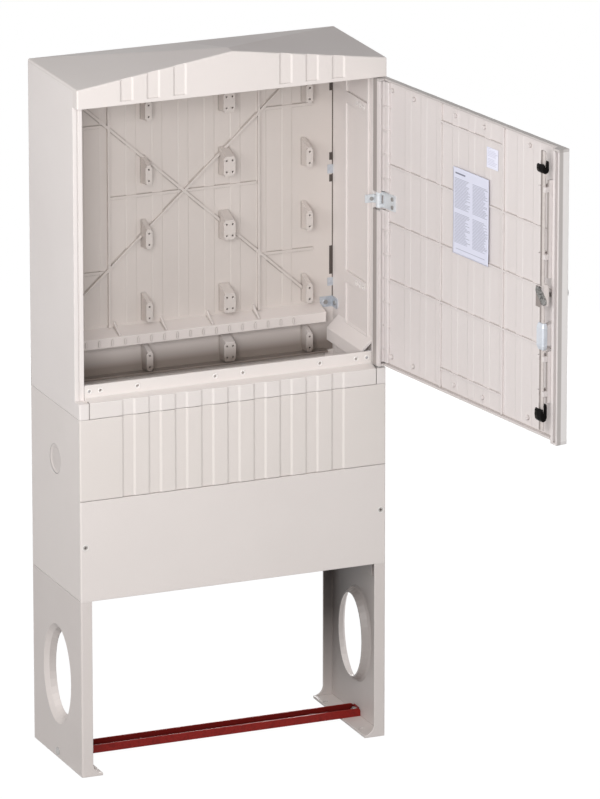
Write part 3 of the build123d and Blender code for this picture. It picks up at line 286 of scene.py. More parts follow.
def new_skin(name: GroupName, second: str, amount: str) -> tuple[Graph, Ends]:
    """Make a group for a skin, which takes two colours, an amount and a gloss.

    Args:
        name: Name of the group.
        second: What the second colour is called.
        amount: What the amount is called.

    Returns:
        The group's graph, and its ends, with Colour, Roughness and Height going out.
    """
    inputs = {"Colour": "NodeSocketColor", second: "NodeSocketColor", amount: "NodeSocketFloat",
              "Gloss": "NodeSocketFloat"}
    outputs = {"Colour": "NodeSocketColor", "Roughness": "NodeSocketFloat", "Height": "NodeSocketFloat"}
    return new_group(name, inputs, outputs)


@dataclass(frozen=True)
class MouldedSkin:
    """The skin of pressed polyester: cloudy colour, fine speckle and a slight orange peel.

    Scales are waves for each metre.
    """

    cloud_scale: float = 5.0
    cloud_gain: float = 1.6
    cloud_start: float = 0.5
    cloud_gloss: float = 0.12
    speckle_scale: float = 420.0
    speckle_share: float = 0.35
    speckle_gloss: float = 0.15
    speckle_height: float = 0.3
    peel_scale: float = 170.0
    peel_height: float = 0.7

    def build(self) -> None:
        """Build the group."""
        graph, (come, leave) = new_skin(GroupName.MOULDED, "Shade", "Cloud")
        place = graph.object_place()
        cloud = graph.noise(place, self.cloud_scale, 4.0)
        speckle = graph.noise(place, self.speckle_scale, 2.0)
        peel = graph.noise(place, self.peel_scale, 3.0)
        share = graph.math("MULTIPLY", graph.scaled(cloud, self.cloud_gain, self.cloud_start), come["Cloud"])
        fine = graph.math("MULTIPLY", graph.math("SUBTRACT", speckle, 0.5), self.speckle_share)
        share = graph.math("ADD", share, fine, clamp=True)
        graph.feed(leave["Colour"], graph.mix(share, come["Colour"], come["Shade"]))
        rough = graph.math("ADD", come["Gloss"], graph.math("MULTIPLY", cloud, self.cloud_gloss))
        rough = graph.math("ADD", rough, graph.math("MULTIPLY", fine, self.speckle_gloss), clamp=True)
        graph.feed(leave["Roughness"], rough)
        dents = graph.math("MULTIPLY", peel, self.peel_height)
        grains = graph.math("MULTIPLY", speckle, self.speckle_height)
        graph.feed(leave["Height"], graph.math("ADD", dents, grains))


@dataclass(frozen=True)
class MetalSkin:
    """The skin of plated or painted metal: cells of the plating, stains and a fine grain.

    Scales are waves for each metre.
    """

    cell_scale: float = 260.0
    stain_scale: float = 60.0
    stain_level: float = 0.52
    stain_gain: float = 2.2
    stain_gloss: float = 0.25
    grain_scale: float = 600.0

    def build(self) -> None:
        """Build the group."""
        graph, (come, leave) = new_skin(GroupName.METAL, "Stain", "Cells")
        place = graph.object_place()
        cell = graph.add("ShaderNodeTexVoronoi")
        graph.feed(cell.inputs["Vector"], place)
        cell.inputs["Scale"].default_value = self.cell_scale
        patch = graph.math("MULTIPLY", cell.outputs["Distance"], come["Cells"])
        stain = graph.math("SUBTRACT", graph.noise(place, self.stain_scale, 5.0), self.stain_level)
        spots = graph.math("MULTIPLY", stain, self.stain_gain, clamp=True)
        share = graph.math("ADD", patch, spots, clamp=True)
        graph.feed(leave["Colour"], graph.mix(share, come["Colour"], come["Stain"]))
        dull = graph.math("MULTIPLY", share, self.stain_gloss)
        graph.feed(leave["Roughness"], graph.math("ADD", come["Gloss"], dull, clamp=True))
        graph.feed(leave["Height"], graph.noise(place, self.grain_scale, 2.0))


@dataclass(frozen=True)
class RoundedEdge:
    """The shading of a small rounded edge: a softened normal, and a mask that is 1 on the edge itself.

    The mask is how far the softened normal leans away from the face's own normal.
    """

    samples: int = 6
    gain: float = 3.0

    def build(self) -> None:
        """Build the group."""
        graph, (come, leave) = new_group(GroupName.EDGE, {"Radius": "NodeSocketFloat"},
                                         {"Normal": "NodeSocketVector", "Mask": "NodeSocketFloat"})
        soft = graph.add("ShaderNodeBevel", samples=self.samples)
        graph.feed(soft.inputs["Radius"], come["Radius"])
        face = graph.add("ShaderNodeNewGeometry")
        lean = graph.along(soft.outputs["Normal"], face.outputs["Normal"])
        mask = graph.math("MULTIPLY", graph.math("SUBTRACT", 1.0, lean), self.gain, clamp=True)
        graph.feed(leave["Normal"], soft.outputs["Normal"])
        graph.feed(leave["Mask"], mask)


@dataclass(frozen=True)
class CreaseShade:
    """Painted shade along ribs and inner corners: an uneven mask that is 1 where the piece closes in on
    itself.
    """

    samples: int = 8
    gain: float = 2.2
    level: float = 0.12
    patch_scale: float = 35.0
    patch_gain: float = 0.8
    patch_start: float = 0.6

    def build(self) -> None:
        """Build the group."""
        graph, (come, leave) = new_group(GroupName.CREASE_SHADE, {"Reach": "NodeSocketFloat"},
                                         {"Mask": "NodeSocketFloat"})
        near = graph.add("ShaderNodeAmbientOcclusion", samples=self.samples, only_local=True)
        graph.feed(near.inputs["Distance"], come["Reach"])
        closed = graph.math("SUBTRACT", 1.0, near.outputs["AO"])
        patches = graph.noise(graph.object_place(), self.patch_scale, 3.0)
        uneven = graph.scaled(patches, self.patch_gain, self.patch_start)
        deep = graph.math("SUBTRACT", graph.math("MULTIPLY", closed, self.gain), self.level)
        graph.feed(leave["Mask"], graph.math("MULTIPLY", deep, uneven, clamp=True))


class Source(Enum):
    """What a slab is measured on: the place on a piece, or the way that its surface faces."""

    PLACE = "Object"
    FACING = "Normal"


@dataclass(frozen=True)
class Slab:
    """The room between two planes that stand square to a direction, or a range of ways to face."""

    way: Way
    low: float
    high: float
    soft: float = 0.6 * MM
    source: Source = Source.PLACE


@dataclass(frozen=True)
class Band:
    """A stripe of another colour where all its slabs meet."""

    slabs: tuple[Slab, ...]
    colour: Colour
    share: float = 1.0


@dataclass(frozen=True)
class Finish:
    """A finish whose colour, gloss and relief come from one shared shader group.

    Its name is never that of a slot of the record, because the frame brings a plain material for each slot.
    """

    name: str
    group: GroupName
    colour: Colour
    second: Colour
    amount: float
    gloss: float
    metallic: float = 0.0
    relief_mm: float = 0.06
    relief_share: float = 0.5
    # Rounded edges get their own colour: a painted highlight where it is paler than the skin, painted shade
    # where it is darker.
    edge_mm: float = 1.4
    edge_colour: Colour = (0.93, 0.905, 0.88, 1.0)
    edge_share: float = 0.6
    # Painted shade in creases and inner corners: its colour, its reach and its share.
    crease_shade: Colour = (0.24, 0.2, 0.17, 1.0)
    crease_shade_mm: float = 4.0
    crease_shade_share: float = 0.0
    bands: tuple[Band, ...] = ()
    specular: float = 0.5

    def tint(self, graph: Graph, colour: Socket) -> Socket:
        """Lay the bands and the painted crease shade over a colour.

        Args:
            graph: Tree of the material.
            colour: Colour that is covered.

        Returns:
            The new colour.
        """
        if self.bands:
            sources = graph.add("ShaderNodeTexCoord").outputs
        for band in self.bands:
            mask: object = band.share
            for slab in band.slabs:
                along = graph.along(sources[slab.source.value], slab.way)
                inside = graph.band(along, slab.low, slab.high, slab.soft)
                mask = graph.math("MULTIPLY", inside, mask)
            colour = graph.mix(mask, colour, band.colour)
        # Painted shade where the piece closes in on itself.
        if self.crease_shade_share:
            crease_shade = graph.group(GroupName.CREASE_SHADE)
            crease_shade.inputs["Reach"].default_value = self.crease_shade_mm * MM
            mask = graph.math("MULTIPLY", crease_shade.outputs["Mask"], self.crease_shade_share)
            colour = graph.mix(mask, colour, self.crease_shade)
        return colour

    def material(self) -> bpy.types.Material:
        """Make the material, with softly rounded edges in its shading.

        Returns:
            The finished material.
        """
        material = bpy.data.materials.new(self.name)
        material.use_nodes = True
        graph = Graph(material.node_tree)
        shader = material.node_tree.nodes["Principled BSDF"]
        skin = graph.group(self.group)
        for socket, value in zip(skin.inputs, (self.colour, self.second, self.amount, self.gloss)):
            socket.default_value = value
        edge = graph.group(GroupName.EDGE)
        edge.inputs["Radius"].default_value = self.edge_mm * MM
        # Painted light along the rounded edges: highlight with a pale edge colour, shade with a dark one.
        painted_edge_mask = graph.math("MULTIPLY", edge.outputs["Mask"], self.edge_share)
        bump = graph.add("ShaderNodeBump")
        bump.inputs["Strength"].default_value = self.relief_share
        bump.inputs["Distance"].default_value = self.relief_mm * MM
        graph.feed(bump.inputs["Height"], skin.outputs["Height"])
        graph.feed(bump.inputs["Normal"], edge.outputs["Normal"])
        colour = self.tint(graph, graph.mix(painted_edge_mask, skin.outputs["Colour"], self.edge_colour))
        graph.feed(shader.inputs["Base Color"], colour)
        graph.feed(shader.inputs["Roughness"], skin.outputs["Roughness"])
        graph.feed(shader.inputs["Normal"], bump.outputs["Normal"])
        shader.inputs["Metallic"].default_value = self.metallic
        shader.inputs["Specular IOR Level"].default_value = self.specular
        return material


# Copies of one moulding in slightly different brightness: the darker legs, back wall and door stand for
# painted shade.
MOULDED_OUTSIDE = Finish("moulded_outside", GroupName.MOULDED, srgb(228, 220, 216), srgb(216, 208, 204),
                         amount=0.35, gloss=0.42, edge_mm=2.0, crease_shade_share=0.28)
FLUTED_PANEL = Finish("fluted_panel", GroupName.MOULDED, srgb(226, 218, 213), srgb(214, 206, 201),
                      amount=0.35, gloss=0.42, edge_mm=3.2)
WALL_OUTSIDE = Finish("wall_outside", GroupName.MOULDED, srgb(232, 225, 222), srgb(221, 213, 210),
                      amount=0.35, gloss=0.42, edge_mm=2.0, crease_shade_share=0.3)
LEG_OUTSIDE = Finish("leg_outside", GroupName.MOULDED, srgb(217, 209, 205), srgb(206, 197, 193),
                     amount=0.35, gloss=0.44, edge_mm=2.0, crease_shade_share=0.3)
SILL_WHITE = Finish("sill_white", GroupName.MOULDED, srgb(228, 221, 217), srgb(218, 210, 206),
                    amount=0.3, gloss=0.42, edge_mm=3.2, crease_shade_share=0.12)
MOULDED_BACK = Finish("moulded_back", GroupName.MOULDED, srgb(213, 205, 200), srgb(202, 193, 187),
                      amount=0.4, gloss=0.46, edge_mm=1.0, crease_shade_share=0.7)
MOULDED_DOOR = Finish("moulded_door", GroupName.MOULDED, srgb(220, 213, 211), srgb(209, 201, 199),
                      amount=0.35, gloss=0.44, edge_mm=1.0, crease_shade_mm=3.5, crease_shade_share=0.62)
# The grey of the door's top and foot edgings is painted shade.
DOOR_EDGING = Finish("door_edging", GroupName.MOULDED, srgb(186, 181, 178), srgb(172, 166, 163),
                     amount=0.4, gloss=0.46)
# Painted highlight: rims lighter than the moulding round the holes.
HIGHLIGHT_RIM = Finish("painted_highlight_rim", GroupName.MOULDED, srgb(243, 239, 236), srgb(232, 226, 222),
                  amount=0.3, gloss=0.4)
DISH_SHADE = Finish("dish_shade", GroupName.MOULDED, srgb(217, 209, 205), srgb(206, 197, 193),
                    amount=0.4, gloss=0.44)
# Dark plates of painted shade in slots and screw recesses; the corner seams are darkened with them too.
SHADE_PLATE = Finish("painted_shade_plate", GroupName.MOULDED, srgb(96, 86, 80), srgb(66, 58, 54),
                   amount=0.6, gloss=0.6, edge_share=0.0)
ZINC_PLATE = Finish("plated_zinc", GroupName.METAL, srgb(206, 211, 218), srgb(164, 170, 180),
                    amount=0.4, gloss=0.36, metallic=0.55, relief_mm=0.03,
                    edge_mm=0.6, edge_colour=srgb(228, 231, 235), edge_share=0.6)
# Its dark edge colour is painted shade along the cam's edges.
CAM_STEEL = Finish("cam_steel", GroupName.METAL, srgb(172, 172, 170), srgb(78, 76, 74),
                   amount=0.8, gloss=0.36, metallic=0.5, relief_mm=0.03,
                   edge_mm=1.6, edge_colour=srgb(40, 38, 36), edge_share=0.9)
# Its dark edge colour is painted shade along the rods' edges.
ROD_STEEL = Finish("rod_steel", GroupName.METAL, srgb(212, 204, 200), srgb(190, 181, 177),
                   amount=0.3, gloss=0.4, metallic=0.2, relief_mm=0.03,
                   edge_mm=0.6, edge_colour=srgb(128, 120, 116), edge_share=0.6)
PALE_STRAP = Finish("pale_strap", GroupName.METAL, srgb(216, 219, 222), srgb(188, 191, 196),
                    amount=0.25, gloss=0.4, metallic=0.25, relief_mm=0.03,
                    edge_mm=0.8, edge_colour=srgb(236, 238, 240), edge_share=0.6)
BRIGHT_STEEL = Finish("turned_steel", GroupName.METAL, srgb(176, 174, 172), srgb(140, 138, 136),
                      amount=0.2, gloss=0.3, metallic=0.8, relief_mm=0.02,
                      edge_mm=0.5, edge_colour=srgb(220, 220, 220), edge_share=0.5)
PALE_SCREW = Finish("pale_screw", GroupName.METAL, srgb(196, 190, 186), srgb(168, 161, 157),
                    amount=0.3, gloss=0.4, metallic=0.2, relief_mm=0.03,
                    edge_mm=0.8, edge_colour=srgb(222, 218, 214), edge_share=0.7)
CAST_GREY = Finish("cast_grey", GroupName.METAL, srgb(212, 216, 223), srgb(184, 190, 199),
                   amount=0.25, gloss=0.42, metallic=0.2, relief_mm=0.04,
                   edge_mm=0.8, edge_colour=srgb(232, 235, 240), edge_share=0.5)
# Its crease shade and the channel band paint shade inside the red channel.
RED_OXIDE = Finish("red_oxide", GroupName.METAL, srgb(140, 28, 21), srgb(96, 16, 13),
                   amount=0.5, gloss=0.42, relief_mm=0.08,
                   edge_mm=1.0, edge_colour=srgb(186, 76, 60), edge_share=0.8,
                   crease_shade=srgb(40, 6, 6), crease_shade_mm=12.0, crease_shade_share=0.6, specular=0.25)
BLACK_NYLON = Finish("saddle_nylon", GroupName.MOULDED, srgb(12, 11, 11), srgb(22, 20, 20),
                     amount=0.4, gloss=0.32, relief_mm=0.03,
                     edge_mm=0.8, edge_colour=srgb(44, 41, 40), edge_share=0.4, specular=0.05)

DRESS: dict[Finish, tuple[str, ...]] = {
    MOULDED_OUTSIDE: ("plinth_left_side", "plinth_right_side", "plinth_front_lower", "plinth_back_lower"),
    FLUTED_PANEL: ("plinth_front_upper", "plinth_back_upper"),
    WALL_OUTSIDE: ("left_wall", "right_wall"),
    MOULDED_BACK: ("back_wall",),
    MOULDED_DOOR: ("rod_guides",),
    ZINC_PLATE: ("corner_clamps",),
    CAM_STEEL: ("lock_cam", "cam_screw"),
    PALE_STRAP: ("middle_hinge_bracket", "middle_hinge_strap"),
    BRIGHT_STEEL: ("leg_screws", "anchor_bolts", "anchor_nuts", "clamp_screws", "bracket_screw",
                   "strap_screws", "base_screws", "upper_hinge_pin", "lower_hinge_pin",
                   "middle_hinge_pin", "lever_pin", "spindle", "lock_cylinder"),
    PALE_SCREW: ("panel_screws",),
    CAST_GREY: ("handle_base", "handle_lever", "cylinder_housing"),
    BLACK_NYLON: ("upper_rod_glide", "lower_rod_glide"),
}


@dataclass(frozen=True)
class Leaflet:
    """Printed paper: grey bars in rows and columns on a pale sheet, laid out on the piece's own UV map.

    Spans are shares of the sheet, across it and up it. A bar ends at the shortest share of its column, plus
    a random part of the spread.
    """

    name: str
    paper: Colour
    ink: Colour
    rows: float
    columns: int
    fields: tuple[Span, Span] = ((0.53, 0.88), (0.13, 0.48))
    head: tuple[Span, Span] = ((0.06, 0.34), (0.925, 0.945))
    foot: tuple[Span, Span] = ((0.08, 0.9), (0.06, 0.068))
    indent: float = 0.08
    shortest: float = 0.66
    spread: float = 0.3
    stroke: float = 0.5
    blur: float = 0.002
    bar_share: float = 0.5
    mark_share: float = 0.9
    foot_share: float = 0.6
    gloss: float = 0.6
    fibre_gloss: float = 0.2
    fibre_scale: float = 900.0
    fibre_mm: float = 0.02

    def bars(self, graph: Graph, across: Socket, up: Socket) -> Socket:
        """Mask of the bars, whose lengths come from a noise of column and row.

        Args:
            graph: Tree of the material.
            across: Share across the sheet.
            up: Share up the sheet.

        Returns:
            The mask, which is 1 on a bar.
        """
        column = graph.math("MULTIPLY", across, float(self.columns))
        row = graph.math("MULTIPLY", up, self.rows)
        number = graph.add("ShaderNodeTexWhiteNoise", noise_dimensions="2D")
        pair = graph.add("ShaderNodeCombineXYZ")
        graph.feed(pair.inputs[0], graph.math("FLOOR", column))
        graph.feed(pair.inputs[1], graph.math("FLOOR", row))
        graph.feed(number.inputs["Vector"], pair.outputs[0])
        within = graph.math("FRACT", column)
        length = graph.scaled(number.outputs["Value"], self.spread, self.shortest)
        inside = graph.math("MULTIPLY", graph.math("GREATER_THAN", within, self.indent),
                            graph.math("LESS_THAN", within, length))
        stroke = graph.math("LESS_THAN", graph.math("FRACT", row), self.stroke)
        upper, lower = (graph.band(up, low, high, self.blur) for low, high in self.fields)
        body = graph.math("MAXIMUM", upper, lower)
        return graph.math("MULTIPLY", graph.math("MULTIPLY", inside, stroke), body)

    def marks(self, graph: Graph, across: Socket, up: Socket) -> Socket:
        """Mask of the short bar at the head and of the fainter line at the foot.

        Args:
            graph: Tree of the material.
            across: Share across the sheet.
            up: Share up the sheet.

        Returns:
            The mask, which is 1 on the head bar.
        """
        head = graph.math("MULTIPLY", graph.band(up, *self.head[1], self.blur),
                          graph.band(across, *self.head[0], self.blur))
        foot = graph.math("MULTIPLY", graph.band(up, *self.foot[1], self.blur / 2),
                          graph.band(across, *self.foot[0], self.blur))
        return graph.math("MAXIMUM", head, graph.math("MULTIPLY", foot, self.foot_share))

    def material(self) -> bpy.types.Material:
        """Make the paper, with its bars, marks and a fine fibre.

        Returns:
            The finished material.
        """
        material = bpy.data.materials.new(self.name)
        material.use_nodes = True
        graph = Graph(material.node_tree)
        shader = material.node_tree.nodes["Principled BSDF"]
        axes = graph.add("ShaderNodeSeparateXYZ")
        graph.feed(axes.inputs[0], graph.add("ShaderNodeTexCoord").outputs["UV"])
        across, up = axes.outputs[0], axes.outputs[1]
        bars = graph.math("MULTIPLY", self.bars(graph, across, up), self.bar_share)
        marks = graph.math("MULTIPLY", self.marks(graph, across, up), self.mark_share)
        mask = graph.math("MAXIMUM", bars, marks)
        fibre = graph.noise(graph.object_place(), self.fibre_scale, 3.0)
        graph.feed(shader.inputs["Base Color"], graph.mix(mask, self.paper, self.ink))
        graph.feed(shader.inputs["Roughness"], graph.scaled(fibre, self.fibre_gloss, self.gloss))
        bump = graph.add("ShaderNodeBump")
        bump.inputs["Distance"].default_value = self.fibre_mm * MM
        graph.feed(bump.inputs["Height"], fibre)
        graph.feed(shader.inputs["Normal"], bump.outputs["Normal"])
        return material


LEAFLET = Leaflet("printed_leaflet", srgb(214, 215, 230), srgb(104, 106, 122), rows=62.0, columns=2)
LABEL = Leaflet("printed_label", srgb(226, 226, 240), srgb(176, 176, 196), rows=14.0, columns=1)


def add_object(name: str, data: bpy.types.ID) -> bpy.types.Object:
    """Put a mesh, a lamp or a camera into the scene.

    Args:
        name: Name of the object.
        data: What it shows.

    Returns:
        The new object, at the origin.
    """
    thing = bpy.data.objects.new(name, data)
    bpy.context.scene.collection.objects.link(thing)
    return thing


def around(count: int) -> np.ndarray:
    """Angles of points that are spread evenly round a circle."""
    return np.linspace(0, 2 * math.pi, count, endpoint=False)


def spread(x: np.ndarray, y: np.ndarray, z: np.ndarray) -> np.ndarray:
    """Lay coordinates that vary along rows, columns or both out as one grid of points."""
    return np.stack(np.broadcast_arrays(x, y, z), axis=-1)


def grid_mesh(name: str, points: np.ndarray) -> bpy.types.Object:
    """Turn a grid of points into a sheet of quads with a UV map along its two ways.

    Args:
        name: Name of the piece.
        points: Places in metres, with shape (rows, columns, 3).

    Returns:
        The new object, in the scene and at the origin.
    """
    rows, columns = points.shape[:2]
    index = np.arange(rows * columns).reshape(rows, columns)
    corners = (index[:-1, :-1], index[:-1, 1:], index[1:, 1:], index[1:, :-1])
    faces = np.stack(corners, axis=-1).reshape(-1, 4)
    mesh = bpy.data.meshes.new(name)
    mesh.from_pydata(points.reshape(-1, 3).tolist(), [], faces.tolist())
    across, up = np.meshgrid(np.linspace(0, 1, columns), np.linspace(0, 1, rows))
    share = np.stack([across, up], axis=-1).reshape(-1, 2)
    layer = mesh.uv_layers.new(name="UVMap")
    layer.data.foreach_set("uv", share[faces.ravel()].astype(np.float32).ravel())
    mesh.polygons.foreach_set("use_smooth", np.ones(len(faces), dtype=bool))
    mesh.update()
    return add_object(name, mesh)


def swept_mesh(name: str, rows: np.ndarray, ring: bool = False, smooth: bool = False) -> bpy.types.Object:
    """Carry a closed outline along a path, with a cap at each end or joined up as a ring.

    Args:
        name: Name of the piece.
        rows: Places of the outline at each station of the path, with shape (stations, points, 3).
        ring: Whether the last station joins the first.
        smooth: Whether the faces are shaded as one curved surface.

    Returns:
        The new object, in the scene and at the origin, with its faces pointing outwards.
    """
    stations, count = rows.shape[:2]
    index = np.arange(stations * count).reshape(stations, count)
    ahead = np.roll(index, -1, axis=0) if ring else index[1:]
    here = index if ring else index[:-1]
    corners = (here, np.roll(here, -1, axis=1), np.roll(ahead, -1, axis=1), ahead)
    quads = np.stack(corners, axis=-1).reshape(-1, 4)
    caps = [] if ring else [index[0, ::-1].tolist(), index[-1].tolist()]
    mesh = bpy.data.meshes.new(name)
    mesh.from_pydata(rows.reshape(-1, 3).tolist(), [], quads.tolist() + caps)
    work = bmesh.new()
    work.from_mesh(mesh)
    bmesh.ops.recalc_face_normals(work, faces=work.faces)
    work.to_mesh(mesh)
    work.free()
    mesh.polygons.foreach_set("use_smooth", np.full(len(mesh.polygons), smooth, dtype=bool))
    mesh.update()
    return add_object(name, mesh)


def chamfered(first: float, last: float, low: float, high: float, cut: float) -> np.ndarray:
    """Outline of a rectangle with its four corners cut off.

    Args:
        first: Its first side along the first way.
        last: Its last side along the first way.
        low: Its lower side along the second way.
        high: Its upper side along the second way.
        cut: Length that each corner loses.

    Returns:
        The eight corners in order, with shape (8, 2).
    """
    return np.array([(first + cut, low), (last - cut, low), (last, low + cut), (last, high - cut),
                     (last - cut, high), (first + cut, high), (first, high - cut), (first, low + cut)])


def settle(piece: bpy.types.Object, finish: Finish, body: Body) -> bpy.types.Object:
    """Give a piece its finish and the body that it rides on.

    Args:
        piece: The new piece.
        finish: Its finish, whose material is made at the first use.
        body: Body that carries it.

    Returns:
        The same piece.
    """
    material = bpy.data.materials.get(finish.name) or finish.material()
    piece.data.materials.append(material)
    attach(piece, body.value)
    return piece


def door_piece(name: str, rows: np.ndarray, finish: Finish = MOULDED_DOOR) -> bpy.types.Object:
    """Carry an outline along a path as a moulding of the door."""
    return settle(swept_mesh(name, rows), finish, Body.DOOR)


@dataclass(frozen=True)
class DoorSpace:
    """Places on the door: reach from the hinge axis, depth towards the inside, and height."""

    hinge: np.ndarray
    opened: float
    nodes: dict[str, bpy.types.Object]

    @property
    def base(self) -> np.ndarray:
        """Place where the hinge axis meets the ground."""
        return np.array([self.hinge[0], self.hinge[1], 0.0])

    @property
    def reach_way(self) -> np.ndarray:
        """Direction from the hinge axis to the free edge."""
        return np.array([-math.cos(self.opened), -math.sin(self.opened), 0.0])

    @property
    def depth_way(self) -> np.ndarray:
        """Direction from the skin to the inside of the door."""
        return np.array([-math.sin(self.opened), math.cos(self.opened), 0.0])

    def at(self, reach: np.ndarray, depth: np.ndarray, height: np.ndarray) -> np.ndarray:
        """Turn door places into places in the frame.

        Args:
            reach: Distances from the hinge axis.
            depth: Distances from the hinge axis towards the inside.
            height: Heights above the ground.

        Returns:
            Points on the grid that the three span, with one more axis of length 3.
        """
        flat = self.base + reach[..., None] * self.reach_way + depth[..., None] * self.depth_way
        return flat + height[..., None] * np.array(UP)

    def slab(self, way: np.ndarray, low: float, high: float) -> Slab:
        """Room between two distances from the hinge axis along one of the door's ways."""
        base = float(way[:2] @ self.hinge[:2])
        return Slab((float(way[0]), float(way[1]), 0.0), base + low, base + high)

    def upright(self, outline: np.ndarray, ends: Span) -> np.ndarray:
        """Carry an outline of reach and depth up from one height to another."""
        return self.at(outline[:, 0], outline[:, 1], np.array(ends)[:, None])

    def level(self, outline: np.ndarray, ends: Span) -> np.ndarray:
        """Carry an outline of depth and height along the door from one reach to another."""
        return self.at(np.array(ends)[:, None], outline[:, 0], outline[:, 1])

    def corners(self, node: str) -> np.ndarray:
        """Read the corners of a CAD node in the frame.

        Args:
            node: Name of the node.

        Returns:
            Places with shape (points, 3).
        """
        vertices = self.nodes[node].data.vertices
        flat = np.zeros(len(vertices) * 3, np.float32)
        vertices.foreach_get("co", flat)
        return flat.reshape(-1, 3)

    def box(self, node: str) -> tuple[np.ndarray, np.ndarray]:
        """Measure a CAD node along the door.

        Args:
            node: Name of the node.

        Returns:
            Lowest and highest reach, depth and height.
        """
        away = self.corners(node) - self.base
        places = np.stack([away @ self.reach_way, away @ self.depth_way, away[:, 2]], axis=-1)
        return places.min(axis=0), places.max(axis=0)

    def levels(self, node: str) -> np.ndarray:
        """Heights of a CAD node's corners from the lowest up, each once."""
        return np.unique(self.corners(node)[:, 2].round(5))


@dataclass
class Paperwork:
    """The leaflet and the label on the inside of the door."""

    door: DoorSpace
    thickness: float = 0.25 * MM
    lift: float = 1.0 * MM
    leaflet_curl: float = 1.6 * MM
    label_curl: float = 0.2 * MM
    rows: int = 45
    columns: int = 33

    def sheet(self, node: str, name: str, finish: Leaflet, curl: float) -> bpy.types.Object:
        """Make one sheet that stands for a CAD node, a little curled along its free corners.

        The depth is the node's own, plus curl times half the sum of the fourth powers of the distances from
        the middle along both ways, plus a slow wave.

        Args:
            node: Node that the sheet stands for.
            name: Name of the piece.
            finish: Print on it.
            curl: Lift of the corners.

        Returns:
            The sheet.
        """
        low, high = self.door.box(node)
        side, rise = np.meshgrid(np.linspace(1, -1, self.columns), np.linspace(-1, 1, self.rows))
        reach = (low[0] + high[0]) / 2 - side * (high[0] - low[0]) / 2
        height = (low[2] + high[2]) / 2 + rise * (high[2] - low[2]) / 2
        wave = 0.25 * np.sin(3.1 * side + 1.3 * rise) + 0.2 * np.sin(4.3 * rise)
        depth = high[1] + self.lift + curl * (0.5 * (side**4 + rise**4) + 0.4 * wave)
        piece = grid_mesh(name, self.door.at(reach, depth, height))
        wall = piece.modifiers.new("thickness", "SOLIDIFY")
        wall.thickness = self.thickness
        piece.data.materials.append(finish.material())
        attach(piece, Body.DOOR.value)
        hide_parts(node)
        return piece

    def build(self) -> list[bpy.types.Object]:
        """Make both sheets."""
        return [self.sheet("instruction_sheet", "leaflet", LEAFLET, self.leaflet_curl),
                self.sheet("door_label", "small_label", LABEL, self.label_curl)]


@dataclass
class FluteBacks:
    """The faint raised strips that the flutes of the outside leave on the inner faces."""

    pitch: float = 67.0 * MM
    count: int = 9
    width: float = 30.0 * MM
    slope: float = 4.0 * MM
    crest: float = 0.7 * MM
    sunk: float = 0.3 * MM
    steps: int = 7

    @property
    def columns(self) -> list[float]:
        """Middle of each strip."""
        return [(i - (self.count - 1) / 2) * self.pitch for i in range(self.count)]

    def profile(self) -> tuple[np.ndarray, np.ndarray]:
        """Closed outline of one strip: flat below, with slopes that ease into a flat crest along a cosine.

        Returns:
            Offsets across the strip, and heights above the wall.
        """
        turn = np.linspace(0, math.pi, self.steps)
        ease = (1 - np.cos(turn)) / 2
        flank = -self.width / 2 + self.slope * turn / math.pi
        across = np.concatenate([flank, -flank[::-1]])
        height = np.concatenate([ease, ease[::-1]]) * (self.crest + self.sunk) - self.sunk
        return across, height


@dataclass
class Inside:
    """Faint strips on the inside of the back wall and of the door."""

    door: DoorSpace
    flutes: FluteBacks = field(default_factory=FluteBacks)
    wall: float = 5.0 * MM
    skin: float = 5.0 * MM
    door_thickness: float = 28.0 * MM
    margin: float = 6.0 * MM
    leaf_share: float = 0.45

    def back(self) -> list[bpy.types.Object]:
        """Carry the strips up the back wall, facing the front.

        Returns:
            The strips from the left to the right.
        """
        low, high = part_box("back_wall")
        across, rise = self.flutes.profile()
        ends = np.array([[low.z + self.margin], [high.z - self.margin]])
        pieces = []
        for i, middle in enumerate(self.flutes.columns):
            piece = swept_mesh(f"back_strip_{i}", spread(middle - across, high.y - self.wall - rise, ends))
            pieces.append(settle(piece, MOULDED_BACK, Body.CABINET))
        return pieces

    def leaf(self) -> list[bpy.types.Object]:
        """Carry the strips up the inside of the door, where they stand less high.

        Returns:
            The strips from the free edge to the hinge.
        """
        low, high = self.door.box("door_leaf")
        across, rise = self.flutes.profile()
        ends = np.array([[low[2] + 2 * self.margin], [high[2] - 2 * self.margin]])
        depth = -self.door_thickness / 2 + self.skin + self.leaf_share * rise
        return [door_piece(f"door_strip_{i}", self.door.at(self.door.hinge[0] - middle + across, depth, ends))
                for i, middle in enumerate(self.flutes.columns)]

    def build(self) -> list[bpy.types.Object]:
        """Make all the strips."""
        return self.back() + self.leaf()


